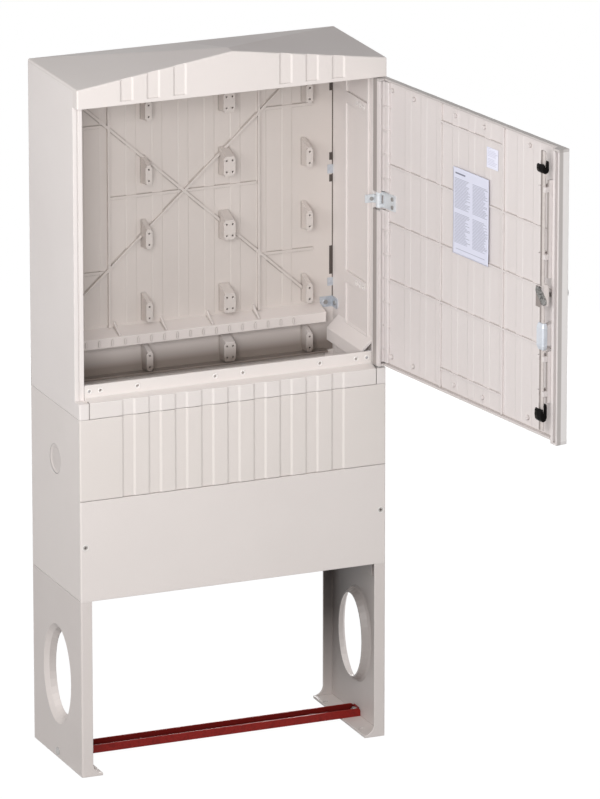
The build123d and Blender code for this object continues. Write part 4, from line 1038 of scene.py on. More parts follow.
@dataclass
class Saddles:
    """The two black forks that hold the ends of the locking rods, open at the top."""

    door: DoorSpace
    drop: float = 4.5 * MM
    tall: float = 18.0 * MM
    swell: float = 0.1
    bevel: float = 1.6 * MM

    def outline(self) -> np.ndarray:
        """Outline of the fork seen along the door: a base, a tall lobe behind and a short prong in front.

        Returns:
            Shares of the depth and of the height, with shape (points, 2).
        """
        return np.array([
            (0.00, 0.20), (0.00, 0.80), (0.06, 0.95), (0.16, 1.00), (0.24, 0.93), (0.27, 0.80), (0.27, 0.52),
            (0.31, 0.43), (0.40, 0.42), (0.46, 0.50), (0.49, 0.64), (0.56, 0.72), (0.68, 0.71), (0.78, 0.60),
            (0.80, 0.36), (0.72, 0.14), (0.54, 0.02), (0.34, 0.00), (0.14, 0.06),
        ])

    def saddle(self, node: str, name: str, body: Body, low: float, high: float) -> bpy.types.Object:
        """Make one fork that stands for a CAD node.

        The outline is carried across the rod, in three stations that swell by a tenth in the middle.

        Args:
            node: Node that it stands for.
            name: Name of the piece.
            body: Rod that carries it.
            low: How far it reaches below the node.
            high: How far it reaches above the node.

        Returns:
            The fork.
        """
        first, last = self.door.box(node)
        outline = self.outline()
        across = np.linspace(0.0, 1.0, 3)[:, None]
        swell = 1.0 + self.swell * np.sin(math.pi * across)
        depth = first[1] + outline[None, :, 0] * swell * (last[1] - first[1]) / (1.0 + self.swell)
        height = first[2] - low + outline[None, :, 1] * (last[2] - first[2] + low + high)
        reach = first[0] + across * (last[0] - first[0])
        piece = swept_mesh(name, self.door.at(reach, depth, height))
        soft = piece.modifiers.new("soft_edges", "BEVEL")
        soft.width = self.bevel
        soft.segments = 3
        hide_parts(node)
        return settle(piece, BLACK_NYLON, body)

    def build(self) -> list[bpy.types.Object]:
        """Make both forks."""
        return [self.saddle("upper_rod_glide", "upper_saddle", Body.UPPER_ROD, self.drop, 0.0),
                self.saddle("lower_rod_glide", "lower_saddle", Body.LOWER_ROD, 0.0, self.tall)]


@dataclass
class DoorTrim:
    """Mouldings inside the door: straight edgings, the hinge flange with its nubs, and the rod rails.

    Reaches and depths are measured from the hinge axis. Mouldings on the skin begin a little below it.
    """

    door: DoorSpace
    skin: float = -9.0 * MM
    sunk: float = 0.4 * MM
    cut: float = 1.2 * MM
    edging_tall: float = 6.0 * MM
    edging_thick: float = 3.4 * MM
    edging_start: float = 15.0 * MM
    edging_cut: float = 0.4 * MM
    edging_gap: float = 0.1 * MM
    edging_end_gap: float = 0.2 * MM
    flange: Span = (13.0 * MM, 35.0 * MM)
    flange_top: float = -3.0 * MM
    flange_end_gap: float = 8.0 * MM
    strap_gap: float = 4.0 * MM
    ramp: Span = (10.0 * MM, 19.0 * MM)
    ramp_top: float = 8.6 * MM
    ramp_flat: float = 1.0 * MM
    ramp_foot: float = 0.2 * MM
    nub_pitch: float = 59.0 * MM
    nub_tall: float = 5.0 * MM
    nub_inset: float = 3.0 * MM
    nub_past: float = 2.5 * MM
    nub_rise: float = 2.0 * MM
    rail_wide: float = 6.3 * MM
    rail_past: float = 0.4 * MM
    rail_top: float = 24.0 * MM
    rail_start: float = 16.0 * MM
    rail_crest_shade: Colour = srgb(142, 133, 129)
    crest_soft: float = 0.3 * MM
    housing_gap: float = 3.0 * MM
    lock_room: float = 30.0 * MM

    def edgings(self) -> list[bpy.types.Object]:
        """Carry strips along the top and the bottom, from barrel to free edge, to close the flutes.

        Returns:
            The top edging and the foot edging.
        """
        low, high = self.door.box("door_leaf")
        ends = (self.edging_start, high[0] - self.edging_end_gap)
        pieces = []
        # Their grey finish is painted shade.
        for name, foot in (("door_top_edging", high[2] - self.edging_tall), ("door_foot_edging", low[2])):
            outline = chamfered(low[1], low[1] + self.edging_thick, foot + self.edging_gap,
                                foot + self.edging_tall - self.edging_gap, self.edging_cut)
            pieces.append(door_piece(name, self.door.level(outline, ends), DOOR_EDGING))
        return pieces

    def flange_outlines(self) -> tuple[np.ndarray, np.ndarray, np.ndarray]:
        """Work out the outlines beside the barrel: two cut rectangles and a slope.

        Returns:
            Reach and depth of the corners of the flange, of the ramp and of a nub.
        """
        first, last = self.flange
        near, far = self.ramp
        foot = self.skin - self.sunk
        plate = chamfered(first, last, foot, self.flange_top, self.cut)
        slope = np.array([(near, self.skin), (far, self.skin), (far, self.flange_top - self.ramp_foot),
                          (near + self.ramp_flat, self.ramp_top), (near, self.ramp_top)])
        nub = chamfered(first + self.nub_inset, last + self.nub_past, foot, self.flange_top + self.nub_rise,
                        self.cut)
        return plate, slope, nub

    def hinge_flange(self) -> list[bpy.types.Object]:
        """Carry the flange and the ramp up beside the barrel, open at the strap, with nubs along them.

        Returns:
            Flange, ramp and nubs of the lower half, then of the upper half.
        """
        low, high = self.door.box("door_leaf")
        strap_low, strap_high = self.door.box("middle_hinge_strap")
        spans = {"lower": (low[2] + self.flange_end_gap, strap_low[2] - self.strap_gap),
                 "upper": (strap_high[2] + self.strap_gap, high[2] - self.flange_end_gap)}
        plate, slope, nub = self.flange_outlines()
        pieces = []
        for part, (foot, head) in spans.items():
            pieces.append(door_piece(f"{part}_hinge_flange", self.door.upright(plate, (foot, head))))
            pieces.append(door_piece(f"{part}_hinge_ramp", self.door.upright(slope, (foot, head))))
            steps = np.arange(foot + self.nub_pitch / 2, head - self.nub_tall, self.nub_pitch)
            for i, step in enumerate(steps):
                points = self.door.upright(nub, (step, step + self.nub_tall))
                pieces.append(door_piece(f"{part}_flange_nub_{i}", points))
        return pieces

    def rod_rails(self) -> list[bpy.types.Object]:
        """Carry rails up behind the rods, in line with the outer legs of the guides, open at the lock.

        Returns:
            The lower and the upper rail.
        """
        low, high = self.door.box("rod_guides")
        below = self.door.box("cylinder_housing")[0][2] - self.housing_gap
        above = self.door.box("spindle")[1][2] + self.lock_room
        outline = chamfered(high[0] - self.rail_wide, high[0] + self.rail_past, self.skin - self.sunk,
                            self.rail_top, self.cut)
        # Painted shade along the rail's crest.
        crest = self.door.slab(self.door.depth_way, self.rail_top - self.cut - self.crest_soft,
                               self.rail_top + OVER)
        bands = (Band((crest,), self.rail_crest_shade, 0.9),)
        finish = replace(MOULDED_DOOR, name="rail_with_painted_shade", bands=bands)
        spans = {"lower": (low[2] - self.rail_start, below), "upper": (above, high[2] + self.rail_start)}
        return [door_piece(f"{part}_rod_rail", self.door.upright(outline, span), finish)
                for part, span in spans.items()]

    def build(self) -> list[bpy.types.Object]:
        """Make all the mouldings."""
        return self.edgings() + self.hinge_flange() + self.rod_rails()


@dataclass
class RodClips:
    """The open clips that the rods run in, with a short hook over each side of the rod."""

    door: DoorSpace
    leg: float = 6.0 * MM
    hook: float = 9.0 * MM
    web: float = 2.6 * MM
    play: float = 0.5 * MM
    sunk: float = 0.4 * MM

    def outline(self) -> np.ndarray:
        """Outline of a clip seen along the rods: two legs, a web under the rod and a hook over each side.

        Returns:
            Reach and depth of the corners, with shape (16, 2).
        """
        low, high = self.door.box("rod_guides")
        near = self.door.box("upper_rod")[0][0] - self.play
        rod_low, rod_high = self.door.box("lower_rod")
        far, under, over = rod_high[0] + self.play, rod_low[1] - self.play, rod_high[1] + self.play
        first, last, foot, crown = low[0], high[0], low[1] - self.sunk, high[1]
        web = under - self.web
        return np.array([
            (first, foot), (first + self.leg, foot), (first + self.leg, web), (last - self.leg, web),
            (last - self.leg, foot), (last, foot), (last, crown), (last - self.hook, crown),
            (last - self.hook, over), (far, over), (far, under), (near, under), (near, over),
            (first + self.hook, over), (first + self.hook, crown), (first, crown),
        ])

    def build(self) -> list[bpy.types.Object]:
        """Carry the outline up over the height of each CAD guide, which the clips stand for.

        Returns:
            The clips from the lowest up.
        """
        pieces = []
        for i, span in enumerate(self.door.levels("rod_guides").reshape(-1, 2)):
            piece = door_piece(f"rod_clip_{i}", self.door.upright(self.outline(), span))
            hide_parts("rod_guides")
            pieces.append(piece)
        return pieces


@dataclass
class LockHousing:
    """The cast cap that bridges the rods at the lock, on its moulded post."""

    door: DoorSpace
    leg: float = 5.4 * MM
    skirt: float = 3.5 * MM
    play: float = 0.6 * MM
    end: float = 10.0 * MM
    end_share: float = 0.74
    end_roof: float = 2.2 * MM
    cut: float = 2.4 * MM
    post_share: float = 0.78
    post_cut: float = 5.0 * MM
    post_past: float = 0.3 * MM
    sunk: float = 0.4 * MM

    def section(self, half: float, crown: float, way: Way) -> np.ndarray:
        """Outline of the cap seen along the rods: a U that opens to the skin, with its two outer corners cut.

        Args:
            half: Half its width.
            crown: Depth of its outer face.
            way: Half the width of the channel, and the depths of the legs' feet and of the channel's floor.

        Returns:
            Offsets from the middle of the rods and depths, with shape (10, 2).
        """
        wide, foot, floor = way
        cut = min(self.cut, (crown - floor) / 2)
        return np.array([(-half, foot), (-wide, foot), (-wide, floor), (wide, floor), (wide, foot),
                         (half, foot), (half, crown - cut), (half - cut, crown), (cut - half, crown),
                         (-half, crown - cut)])

    def cap(self) -> bpy.types.Object:
        """Carry the U up the door, narrower and lower at both ends.

        Returns:
            The cap, which stands for the CAD housing.
        """
        low, high = self.door.box("cylinder_housing")
        rod_low, rod_high = self.door.box("lower_rod")
        half = (high[0] - low[0]) / 2
        way = (half - self.leg, rod_low[1] - self.skirt, rod_high[1] + self.play)
        full = self.section(half, high[1], way)
        tip = self.section(half * self.end_share, way[2] + self.end_roof, way)
        rows = np.stack([tip, full, full, tip])
        height = np.array([low[2], low[2] + self.end, high[2] - self.end, high[2]])[:, None]
        reach = (low[0] + high[0]) / 2 + rows[..., 0]
        piece = swept_mesh("lock_cap", self.door.at(reach, rows[..., 1], height))
        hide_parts("cylinder_housing")
        return settle(piece, CAST_GREY, Body.DOOR)

    def post(self) -> bpy.types.Object:
        """Carry a cut rectangle from the skin to the feet of the cap, where it is smaller.

        Returns:
            The post.
        """
        low, high = self.door.box("cylinder_housing")
        top = self.door.box("lower_rod")[0][1] - self.skirt + self.post_past
        outline = chamfered(low[0], high[0], low[2], high[2], self.post_cut)
        middle = outline.mean(axis=0)
        rows = np.stack([outline, middle + self.post_share * (outline - middle)])
        depth = np.array([low[1] - self.sunk, top])[:, None]
        return door_piece("lock_post", self.door.at(rows[..., 0], depth, rows[..., 1]))

    def build(self) -> list[bpy.types.Object]:
        """Make the cap and the post."""
        return [self.cap(), self.post()]


@dataclass
class HoleRims:
    """Painted highlight rims round the holes of the front sill, of the wall pads and of the front panel
    screws.

    A ring is the radius of a rim's crest and half the rim's width.
    """

    crest: float = 0.6 * MM
    keel_share: float = -0.25
    stations: int = 28
    arch_points: int = 10
    sill_ring: Span = (5.2 * MM, 1.7 * MM)
    sill_insets: tuple[float, ...] = (37.0 * MM, 65.0 * MM, 159.0 * MM, 357.0 * MM)
    sill_drop: float = 15.0 * MM
    jamb: float = -131.0 * MM
    pad_ring: Span = (5.8 * MM, 1.6 * MM)
    pad_steps: tuple[int, ...] = (1, 2, 3)
    pad_pitch: float = 21.0 * MM
    pad_start: float = -66.0 * MM
    pad_heights: tuple[float, ...] = (1.098, 1.544)
    pad_inset: float = 10.0 * MM
    screw_ring: float = 1.2 * MM
    screw_lift: float = 0.5 * MM
    cross_arm: float = 3.4 * MM
    cross_half: float = 1.1 * MM
    cross_depths: Span = (0.3 * MM, -0.25 * MM)

    def rim(self, name: str, centre: Way, first: Way, out: Way, ring: Span) -> bpy.types.Object:
        """Make one raised rim round a hole in an upright face.

        A small arch is carried round a circle, which lies along the first way and upwards. The arch rises
        along out, and below the face it is cut off flat.

        Args:
            name: Name of the piece.
            centre: Middle of the hole on the face.
            first: Level way along the face.
            out: Way that the face looks.
            ring: Radius of the crest, and half the width.

        Returns:
            The rim.
        """
        middle, half = ring
        turn = around(self.stations)[:, None, None]
        arch = around(self.arch_points)[None, :, None]
        circle = np.cos(turn) * np.array(first) + np.sin(turn) * np.array(UP)
        rise = self.crest * np.maximum(np.sin(arch), self.keel_share)
        points = np.array(centre) + (middle + half * np.cos(arch)) * circle + rise * np.array(out)
        piece = swept_mesh(name, points, ring=True, smooth=True)
        return settle(piece, HIGHLIGHT_RIM, Body.CABINET)

    def recess(self, name: str, centre: Way) -> bpy.types.Object:
        """Make the cross recess of one screw: two crossed bars carried out by a fraction of a millimetre.

        Args:
            name: Name of the piece.
            centre: Middle of the screw head.

        Returns:
            The cross, dark with painted shade.
        """
        arm, half = self.cross_arm, self.cross_half
        side = np.array([half, half, arm, arm, half, half, -half, -half, -arm, -arm, -half, -half])
        depth = np.array(self.cross_depths)[:, None]
        points = spread(centre[0] + side, centre[1] + depth, centre[2] + np.roll(side, -3))
        return settle(swept_mesh(name, points), SHADE_PLATE, Body.CABINET)

    def sill(self) -> list[bpy.types.Object]:
        """Rims on the upstand of the front sill.

        Returns:
            The rims, in pairs from the ends to the middle.
        """
        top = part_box("front_sill")[1].z - self.sill_drop
        left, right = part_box("left_wall")[0].x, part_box("right_wall")[1].x
        pieces = []
        for i, inset in enumerate(self.sill_insets):
            for side, x in (("left", left + inset), ("right", right - inset)):
                centre = (x, self.jamb, top)
                pieces.append(self.rim(f"sill_rim_{side}_{i}", centre, RIGHT, FRONT, self.sill_ring))
        return pieces

    def pads(self) -> list[bpy.types.Object]:
        """Rims on the pads of both side walls.

        Returns:
            The rims of the left wall, then of the right wall.
        """
        left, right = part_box("left_wall")[0].x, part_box("right_wall")[1].x
        walls = (("left", left + self.pad_inset, RIGHT), ("right", right - self.pad_inset, LEFT))
        pieces = []
        for side, face, out in walls:
            for step in self.pad_steps:
                for i, height in enumerate(self.pad_heights):
                    centre = (face, self.pad_start + step * self.pad_pitch, height)
                    pieces.append(self.rim(f"{side}_pad_rim_{step}_{i}", centre, REAR, out, self.pad_ring))
        return pieces

    def screws(self) -> list[bpy.types.Object]:
        """Rims and cross recesses of the two screws in the front panel.

        Returns:
            Rim and recess of each screw.
        """
        low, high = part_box("panel_screws")
        radius = (high.z - low.z) / 2
        middle = (low.z + high.z) / 2
        ring = (radius + self.screw_ring, self.screw_ring)
        pieces = []
        for side, x in (("left", low.x + radius), ("right", high.x - radius)):
            centre = (x, low.y - self.screw_lift, middle)
            pieces.append(self.rim(f"screw_rim_{side}", centre, RIGHT, FRONT, ring))
            pieces.append(self.recess(f"screw_recess_{side}", (x, low.y, middle)))
        return pieces

    def build(self) -> list[bpy.types.Object]:
        """Make all the rims and recesses."""
        return self.sill() + self.pads() + self.screws()


@dataclass
class KnockOuts:
    """The shaded floors of the round knock-outs in the sides of the plinth."""

    radius: float = 37.0 * MM
    taper: float = 9.0 * MM
    depth: float = 3.0 * MM
    height: float = 752.0 * MM
    lift: float = 0.25 * MM
    swell: float = 0.5 * MM
    least: float = 0.05 * MM
    lining: float = 0.4 * MM
    rim_gap: float = 0.4 * MM
    circles: int = 18
    sides: int = 48

    def dish(self, name: str, face: float, inward: float) -> bpy.types.Object:
        """Line one dish: depth falls along the tapered rim and swells by half a millimetre over the floor.

        Circles are carried from the middle out to the rim, and back again four tenths of a millimetre deeper.

        Args:
            name: Name of the piece.
            face: X of the wall's outer face.
            inward: 1 where the dish goes towards +X, -1 where it goes towards -X.

        Returns:
            The lining.
        """
        share = np.linspace(0.01, 1.0, self.circles)
        floor = 1.0 - self.taper / self.radius
        fall = np.clip((1.0 - share) / (1.0 - floor), 0.0, 1.0)
        swell = self.swell * np.clip(1 - (share / floor) ** 2, 0.0, 1.0)
        sink = np.maximum(self.depth * fall - self.lift - swell, self.least)
        sink = np.concatenate([sink, sink[::-1] + self.lining])[:, None]
        radius = np.concatenate([share, share[::-1]])[:, None] * (self.radius - self.rim_gap)
        turn = around(self.sides)[None, :]
        points = spread(face + inward * sink, radius * np.cos(turn), self.height + radius * np.sin(turn))
        return settle(swept_mesh(name, points, smooth=True), DISH_SHADE, Body.CABINET)

    def build(self) -> list[bpy.types.Object]:
        """Line both dishes."""
        left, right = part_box("plinth_left_side")[0].x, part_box("plinth_right_side")[1].x
        return [self.dish("left_knock_out", left, 1.0), self.dish("right_knock_out", right, -1.0)]


@dataclass
class CornerSeams:
    """Dark seams, slots of painted shade and zinc clips in the two rear corners of the cabinet."""

    slots: tuple[Span, ...] = ((1.537, 1.568), (1.364, 1.383), (1.310, 1.328), (1.079, 1.150))
    clips: tuple[Span, ...] = ((1.331, 1.353), (1.050, 1.070))
    slot_width: float = 7.0 * MM
    seam_width: float = 2.2 * MM
    seam_foot_gap: float = 2.0 * MM
    seam_head_gap: float = 8.0 * MM
    wall: float = 5.0 * MM
    lift: float = 0.5 * MM
    clip_lift: float = 2.0 * MM
    sunk: float = 0.3 * MM

    def plate(self, name: str, xs: Span, zs: Span, metal: bool = False) -> bpy.types.Object:
        """Lay one flat plate on the inner face of the back wall.

        Args:
            name: Name of the piece.
            xs: Its two sides, in either order.
            zs: Its lower and upper end.
            metal: Whether it is a zinc clip, and not a dark plate of painted shade.

        Returns:
            The plate, a rectangle carried up from its lower to its upper end.
        """
        rise = self.clip_lift if metal else self.lift
        finish, slot = (ZINC_PLATE, "zinc_plate") if metal else (SHADE_PLATE, "back_grp")
        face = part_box("back_wall")[1].y - self.wall
        first, last = sorted(xs)
        across = np.array([first, last, last, first])
        depth = np.array([face + self.sunk, face + self.sunk, face - rise, face - rise])
        piece = swept_mesh(name, spread(across, depth, np.array(zs)[:, None]))
        return settle(piece, finish, Body.CABINET)

    def build(self) -> list[bpy.types.Object]:
        """Make the seams, slots and clips of both corners.

        Returns:
            The plates of the left corner, then of the right one.
        """
        low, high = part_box("back_wall")
        inner = high.x - self.wall
        height = (low.z + self.seam_foot_gap, high.z - self.seam_head_gap)
        pieces = []
        for side, sign in (("left", -1.0), ("right", 1.0)):
            edge = sign * inner
            seam = edge - sign * self.seam_width
            slot = edge - sign * (self.seam_width + self.slot_width)
            clip = edge - sign * 2 * self.slot_width
            pieces.append(self.plate(f"{side}_corner_seam", (edge, seam), height))
            for i, zs in enumerate(self.slots):
                pieces.append(self.plate(f"{side}_corner_slot_{i}", (seam, slot), zs))
            for i, zs in enumerate(self.clips):
                pieces.append(self.plate(f"{side}_corner_clip_{i}", (edge, clip), zs, metal=True))
        return pieces


@dataclass(frozen=True)
class Lamp:
    """A square soft lamp: where it hangs, the point that it faces, the length of its side and its watts."""

    name: str
    place: Way
    aim: Way
    size: float
    power: float

    def hang(self) -> None:
        """Put the lamp into the scene and turn it to its point."""
        data = bpy.data.lights.new(self.name, "AREA")
        data.size = self.size
        data.energy = self.power
        lamp = add_object(self.name, data)
        way = np.array(self.aim) - np.array(self.place)
        tilt = math.atan2(math.hypot(way[0], way[1]), -way[2])
        lamp.location = self.place
        lamp.rotation_euler = (tilt, 0.0, math.atan2(way[1], way[0]) - math.pi / 2)


@dataclass
class Studio:
    """White studio: floor, soft lamps, sky and the camera at the photograph's view."""

    azimuth: float = math.radians(-22.8)
    elevation: float = math.radians(17.2)
    distance: float = 20.0
    scale: float = 0.417 / MM
    target: Way = (0.237, 0.0, 0.823)
    frame_width: int = 600
    sensor: float = 36.0
    far_clip: float = 200.0
    floor_half: float = 14.0
    floor_colour: Colour = (0.35, 0.35, 0.35, 1.0)
    floor_roughness: float = 0.9
    floor_glow: float = 1.16
    floor_white: float = 0.84
    sky_level: float = 0.5
    sky_overhead: float = 0.22
    sky_rear: float = -0.17
    sky_right: float = -0.15
    lamps: tuple[Lamp, ...] = (
        Lamp("key", (-1.8, -3.5, 2.4), (0.0, 0.0, 1.2), 1.6, 100.0),
        Lamp("side", (-2.4, -1.3, 2.2), (-0.1, -0.1, 1.3), 1.0, 20.0),
        Lamp("rear", (1.9, 3.3, 0.55), (0.0, 0.1, 1.2), 0.9, 70.0),
        Lamp("right", (3.3, 0.3, 0.9), (0.3, -0.2, 0.9), 1.4, 32.0),
    )

    def camera(self) -> None:
        """Place the camera on the line that azimuth and elevation give."""
        data = bpy.data.cameras.new("view")
        data.sensor_fit = "HORIZONTAL"
        data.sensor_width = self.sensor
        data.lens = self.scale * self.distance * self.sensor / self.frame_width
        data.clip_end = self.far_clip
        view = add_object("view", data)
        flat = math.cos(self.elevation) * self.distance
        away = np.array([math.sin(self.azimuth) * flat, -math.cos(self.azimuth) * flat,
                         math.sin(self.elevation) * self.distance])
        view.location = (np.array(self.target) + away).tolist()
        view.rotation_euler = (math.pi / 2 - self.elevation, 0.0, self.azimuth)
        bpy.context.scene.camera = view

    def floor(self) -> None:
        """Lay a large pale floor that stays white to the camera and keeps a soft shadow."""
        side = np.linspace(-self.floor_half, self.floor_half, 3)
        piece = grid_mesh("floor", spread(side, side[:, None], np.zeros((3, 3))))
        material = bpy.data.materials.new("floor")
        material.use_nodes = True
        graph = Graph(material.node_tree)
        nodes = material.node_tree.nodes
        shader = nodes["Principled BSDF"]
        shader.inputs["Base Color"].default_value = self.floor_colour
        shader.inputs["Roughness"].default_value = self.floor_roughness
        glow = graph.add("ShaderNodeEmission")
        glow.inputs["Color"].default_value = WHITE
        glow.inputs["Strength"].default_value = self.floor_glow
        blend = graph.add("ShaderNodeMixShader")
        graph.feed(blend.inputs[0], graph.math("MULTIPLY", graph.seen_rays(), self.floor_white))
        graph.feed(blend.inputs[1], shader.outputs[0])
        graph.feed(blend.inputs[2], glow.outputs[0])
        graph.feed(nodes["Material Output"].inputs[0], blend.outputs[0])
        piece.data.materials.append(material)

    def sky(self) -> None:
        """Make a sky that is white to the camera, and dimmer overhead, behind and on the right."""
        world = bpy.data.worlds.new("studio")
        world.use_nodes = True
        bpy.context.scene.world = world
        graph = Graph(world.node_tree)
        back = world.node_tree.nodes["Background"]
        way = graph.add("ShaderNodeSeparateXYZ")
        graph.feed(way.inputs[0], graph.add("ShaderNodeTexCoord").outputs["Generated"])
        right, rear, up = way.outputs
        high = graph.math("MULTIPLY", up, 1.0, clamp=True)
        level = graph.math("SUBTRACT", self.sky_level, graph.math("MULTIPLY", high, self.sky_overhead))
        level = graph.math("ADD", level, graph.math("MULTIPLY", rear, self.sky_rear))
        level = graph.math("ADD", level, graph.math("MULTIPLY", right, self.sky_right))
        whiter = graph.math("MULTIPLY", graph.seen_rays(), graph.math("SUBTRACT", 1.0, level))
        back.inputs["Color"].default_value = WHITE
        graph.feed(back.inputs["Strength"], graph.math("ADD", whiter, level))

    def build(self) -> None:
        """Set up the whole studio."""
        self.camera()
        self.floor()
        self.sky()
        for lamp in self.lamps:
            lamp.hang()
        bpy.context.scene.view_settings.view_transform = "Standard"


@dataclass
class PaintedLightBands:
    """Bands of painted shade and highlight, and dark seams, that lie over the finishes of single CAD nodes.
    """

    door: DoorSpace
    skin: float = 1.0 * MM
    # Painted shade and painted highlight on the door's free end, level edges and barrel.
    edge_shade: Colour = srgb(170, 164, 160)
    edge_highlight: Colour = srgb(252, 249, 247)
    edge_skin: float = 0.4 * MM
    grey_from: float = 2.8 * MM
    grey_inset: float = 1.5 * MM
    pale_to: float = 2.4 * MM
    head_tall: float = 7.0 * MM
    foot_tall: float = 8.0 * MM
    barrel_shade: Colour = srgb(146, 138, 134)
    barrel_inset: float = 2.0 * MM
    rod_shade: Colour = srgb(138, 129, 125)
    rod_span: Span = (40.0 * MM, 1.0 * MM)
    recess_shade: Colour = srgb(104, 90, 80)
    recess_foot: Span = (-0.2, 70.0 * MM)
    recess_soft: float = 50.0 * MM
    leg_shade: Colour = srgb(50, 42, 39)
    leg_inset: float = 3.0 * MM
    leg_fade: Span = (-95.0 * MM, 0.4)
    leg_fade_soft: float = 0.33
    leg_deep: Span = (-150.0 * MM, 0.5)
    leg_deep_soft: float = 0.4
    leg_turn: Span = (0.75, -0.66)
    leg_facing: Span = (0.1, 2.0)
    leg_facing_soft: float = 0.4
    seam_dark: Colour = srgb(120, 110, 105)
    seam_wide: float = 2.2 * MM
    seam_deep: float = 12.0 * MM
    channel_shade: Colour = srgb(84, 12, 9)
    channel_wall: float = 1.5 * MM
    channel_floor: float = 2.5 * MM
    channel_rim: float = 0.4 * MM
    channel_soft: float = 1.0 * MM
    roof_shade: Colour = srgb(206, 195, 193)
    slope_shade: Colour = srgb(196, 185, 183)
    roof_inset: float = 4.0 * MM
    roof_soft: float = 0.3

    def leaf(self) -> tuple[Band, ...]:
        """Painted shade and highlight on the leaf: its free end, its level edges and its barrel.

        Returns:
            The bands in the order that they are laid.
        """
        door = self.door
        low, high = door.box("door_leaf")
        end = door.slab(door.reach_way, high[0] - self.edge_skin, high[0] + OVER)
        inner = door.slab(door.depth_way, self.grey_from, high[1] - self.grey_inset)
        outer = door.slab(door.depth_way, low[1] - OVER, self.pale_to)
        head = Slab(UP, high[2] - self.head_tall, high[2] + OVER)
        foot = Slab(UP, low[2] - OVER, low[2] + self.foot_tall)
        barrel = (door.slab(door.reach_way, low[0] - OVER, -low[0] - self.barrel_inset),
                  door.slab(door.depth_way, 0.0, high[1] + OVER))
        return (Band((end, inner), self.edge_shade, share=0.9), Band((end, outer), self.edge_highlight, share=0.9),
                Band((head,), self.edge_shade, share=0.55), Band((foot,), self.edge_shade, share=0.2),
                Band(barrel, self.barrel_shade, share=0.85))

    def rods(self) -> tuple[Band, ...]:
        """Band of the locking rods: painted shade on their half towards the hinge, from the middle of the
        guides.

        Returns:
            One band.
        """
        low, high = self.door.box("rod_guides")
        middle = (low[0] + high[0]) / 2
        first, last = self.rod_span
        half = self.door.slab(self.door.reach_way, middle - first, middle - last)
        return (Band((half,), self.rod_shade, share=0.9),)

    def rear_sill(self) -> tuple[Band, ...]:
        """Band of the rear sill: painted shade in the foot of the deep channel behind it.

        Returns:
            One band.
        """
        low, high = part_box("rear_sill")
        below, above = self.recess_foot
        inside = Slab(REAR, low.y - OVER, high.y - self.skin)
        foot = Slab(UP, low.z + below, low.z + above, self.recess_soft)
        return (Band((inside, foot), self.recess_shade, share=0.85),)

    def leg(self, node: str) -> tuple[Band, ...]:
        """Band of a leg: painted shade on its inside, which fades downwards from the panels and to the front.

        Args:
            node: Name of the leg.

        Returns:
            One band.
        """
        low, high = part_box(node)
        aside, ahead = self.leg_turn
        inwards = -aside if low.x > 0.0 else aside
        within = Slab(REAR, low.y + self.leg_inset, high.y - self.leg_inset)
        fade = Slab(UP, low.z + self.leg_fade[0], high.z + self.leg_fade[1], self.leg_fade_soft)
        deep = Slab(REAR, low.y + self.leg_deep[0], high.y + self.leg_deep[1], self.leg_deep_soft)
        facing = Slab((inwards, ahead, 0.0), *self.leg_facing, self.leg_facing_soft, Source.FACING)
        return (Band((within, fade, deep, facing), self.leg_shade, share=0.88),)

    def front_sill(self) -> tuple[Band, ...]:
        """Bands of the front sill: a dark seam at each end.

        Returns:
            The left and the right band.
        """
        low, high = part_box("front_sill")
        front = Slab(REAR, low.y - OVER, low.y + self.seam_deep)
        ends = (Slab(way, high.x - self.seam_wide, high.x + OVER) for way in (LEFT, RIGHT))
        return tuple(Band((front, end), self.seam_dark, share=0.8) for end in ends)

    def anchor_bar(self) -> tuple[Band, ...]:
        """Band of the red channel: painted shade on its inside.

        Returns:
            One band.
        """
        low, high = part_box("anchor_bar")
        across = Slab(REAR, low.y + self.channel_wall, high.y - self.channel_wall, self.channel_soft)
        inside = Slab(UP, low.z + self.channel_floor, high.z - self.channel_rim)
        return (Band((across, inside), self.channel_shade, share=0.6),)

    def roof(self) -> tuple[Band, ...]:
        """Bands of the roof: painted shade, a little darker on top and more so on the right-hand slope.

        Returns:
            The bands in the order that they are laid.
        """
        low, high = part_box("roof")
        within = Slab(REAR, low.y + self.roof_inset, high.y - self.roof_inset)
        whole = Slab(RIGHT, low.x + self.skin, high.x - self.skin, self.roof_soft)
        slope = Slab(RIGHT, 0.0, high.x - self.skin)
        return (Band((within, whole), self.roof_shade, share=0.4),
                Band((within, slope), self.slope_shade, share=0.5))

    def finishes(self) -> dict[Finish, tuple[str, ...]]:
        """Lay the bands over the finishes.

        Returns:
            Each finish with the nodes that it goes on.
        """
        # A deeper painted shade in the recess behind the rear sill.
        rear_sill = replace(MOULDED_OUTSIDE, crease_shade_mm=6.0, crease_shade_share=0.6)
        banded = {
            replace(MOULDED_DOOR, name="moulded_leaf", bands=self.leaf()): ("door_leaf",),
            replace(rear_sill, name="moulded_rear_sill", bands=self.rear_sill()): ("rear_sill",),
            replace(MOULDED_OUTSIDE, name="moulded_roof", bands=self.roof()): ("roof",),
            replace(SILL_WHITE, name="seamed_sill", bands=self.front_sill()): ("front_sill",),
            replace(RED_OXIDE, name="red_channel", bands=self.anchor_bar()): ("anchor_bar",),
            replace(ROD_STEEL, name="edged_rod_steel", bands=self.rods()): ("upper_rod", "lower_rod"),
        }
        for leg in ("left_leg", "right_leg"):
            banded[replace(LEG_OUTSIDE, name=f"shaded_inside_{leg}", bands=self.leg(leg))] = (leg,)
        return banded


def dress(door: DoorSpace) -> None:
    """Give every CAD node its finish.

    Args:
        door: Places on the door, with the nodes.
    """
    for finish, names in (DRESS | PaintedLightBands(door).finishes()).items():
        material = finish.material()
        for name in names:
            materials = door.nodes[name].data.materials
            materials.clear()
            materials.append(material)
            LOG.info("%s has finish %s", name, finish.name)


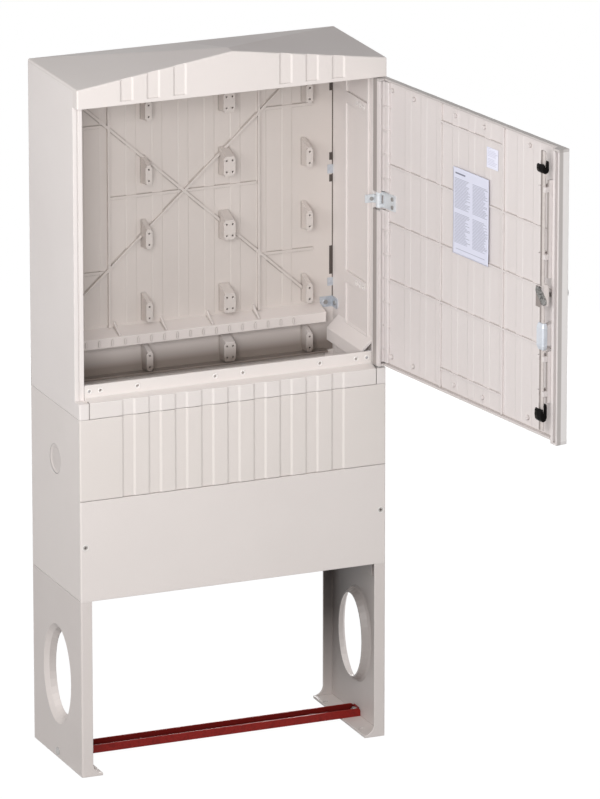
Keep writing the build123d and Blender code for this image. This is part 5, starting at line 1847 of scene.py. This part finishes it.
def main() -> None:
    """Load the frame, dress it, add the pieces and set up the studio."""
    logging.basicConfig(level=logging.INFO, format="%(name)s: %(message)s")
    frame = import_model()
    for group in (RoundedEdge(), CreaseShade(), MouldedSkin(), MetalSkin()):
        group.build()
    swing = next(joint for joint in frame["joints"] if joint["name"] == "door_swing")
    door = DoorSpace(np.array(swing["pos_m"]), math.radians(-swing["range_deg"][0]), frame["nodes"])
    dress(door)
    makers = (Paperwork(door), Inside(door), Saddles(door), DoorTrim(door), RodClips(door), LockHousing(door),
              HoleRims(), KnockOuts(), CornerSeams())
    for maker in makers:
        for piece in maker.build():
            LOG.info("made %s", piece.name)
    Studio().build()


if __name__ == "__main__":
    main()
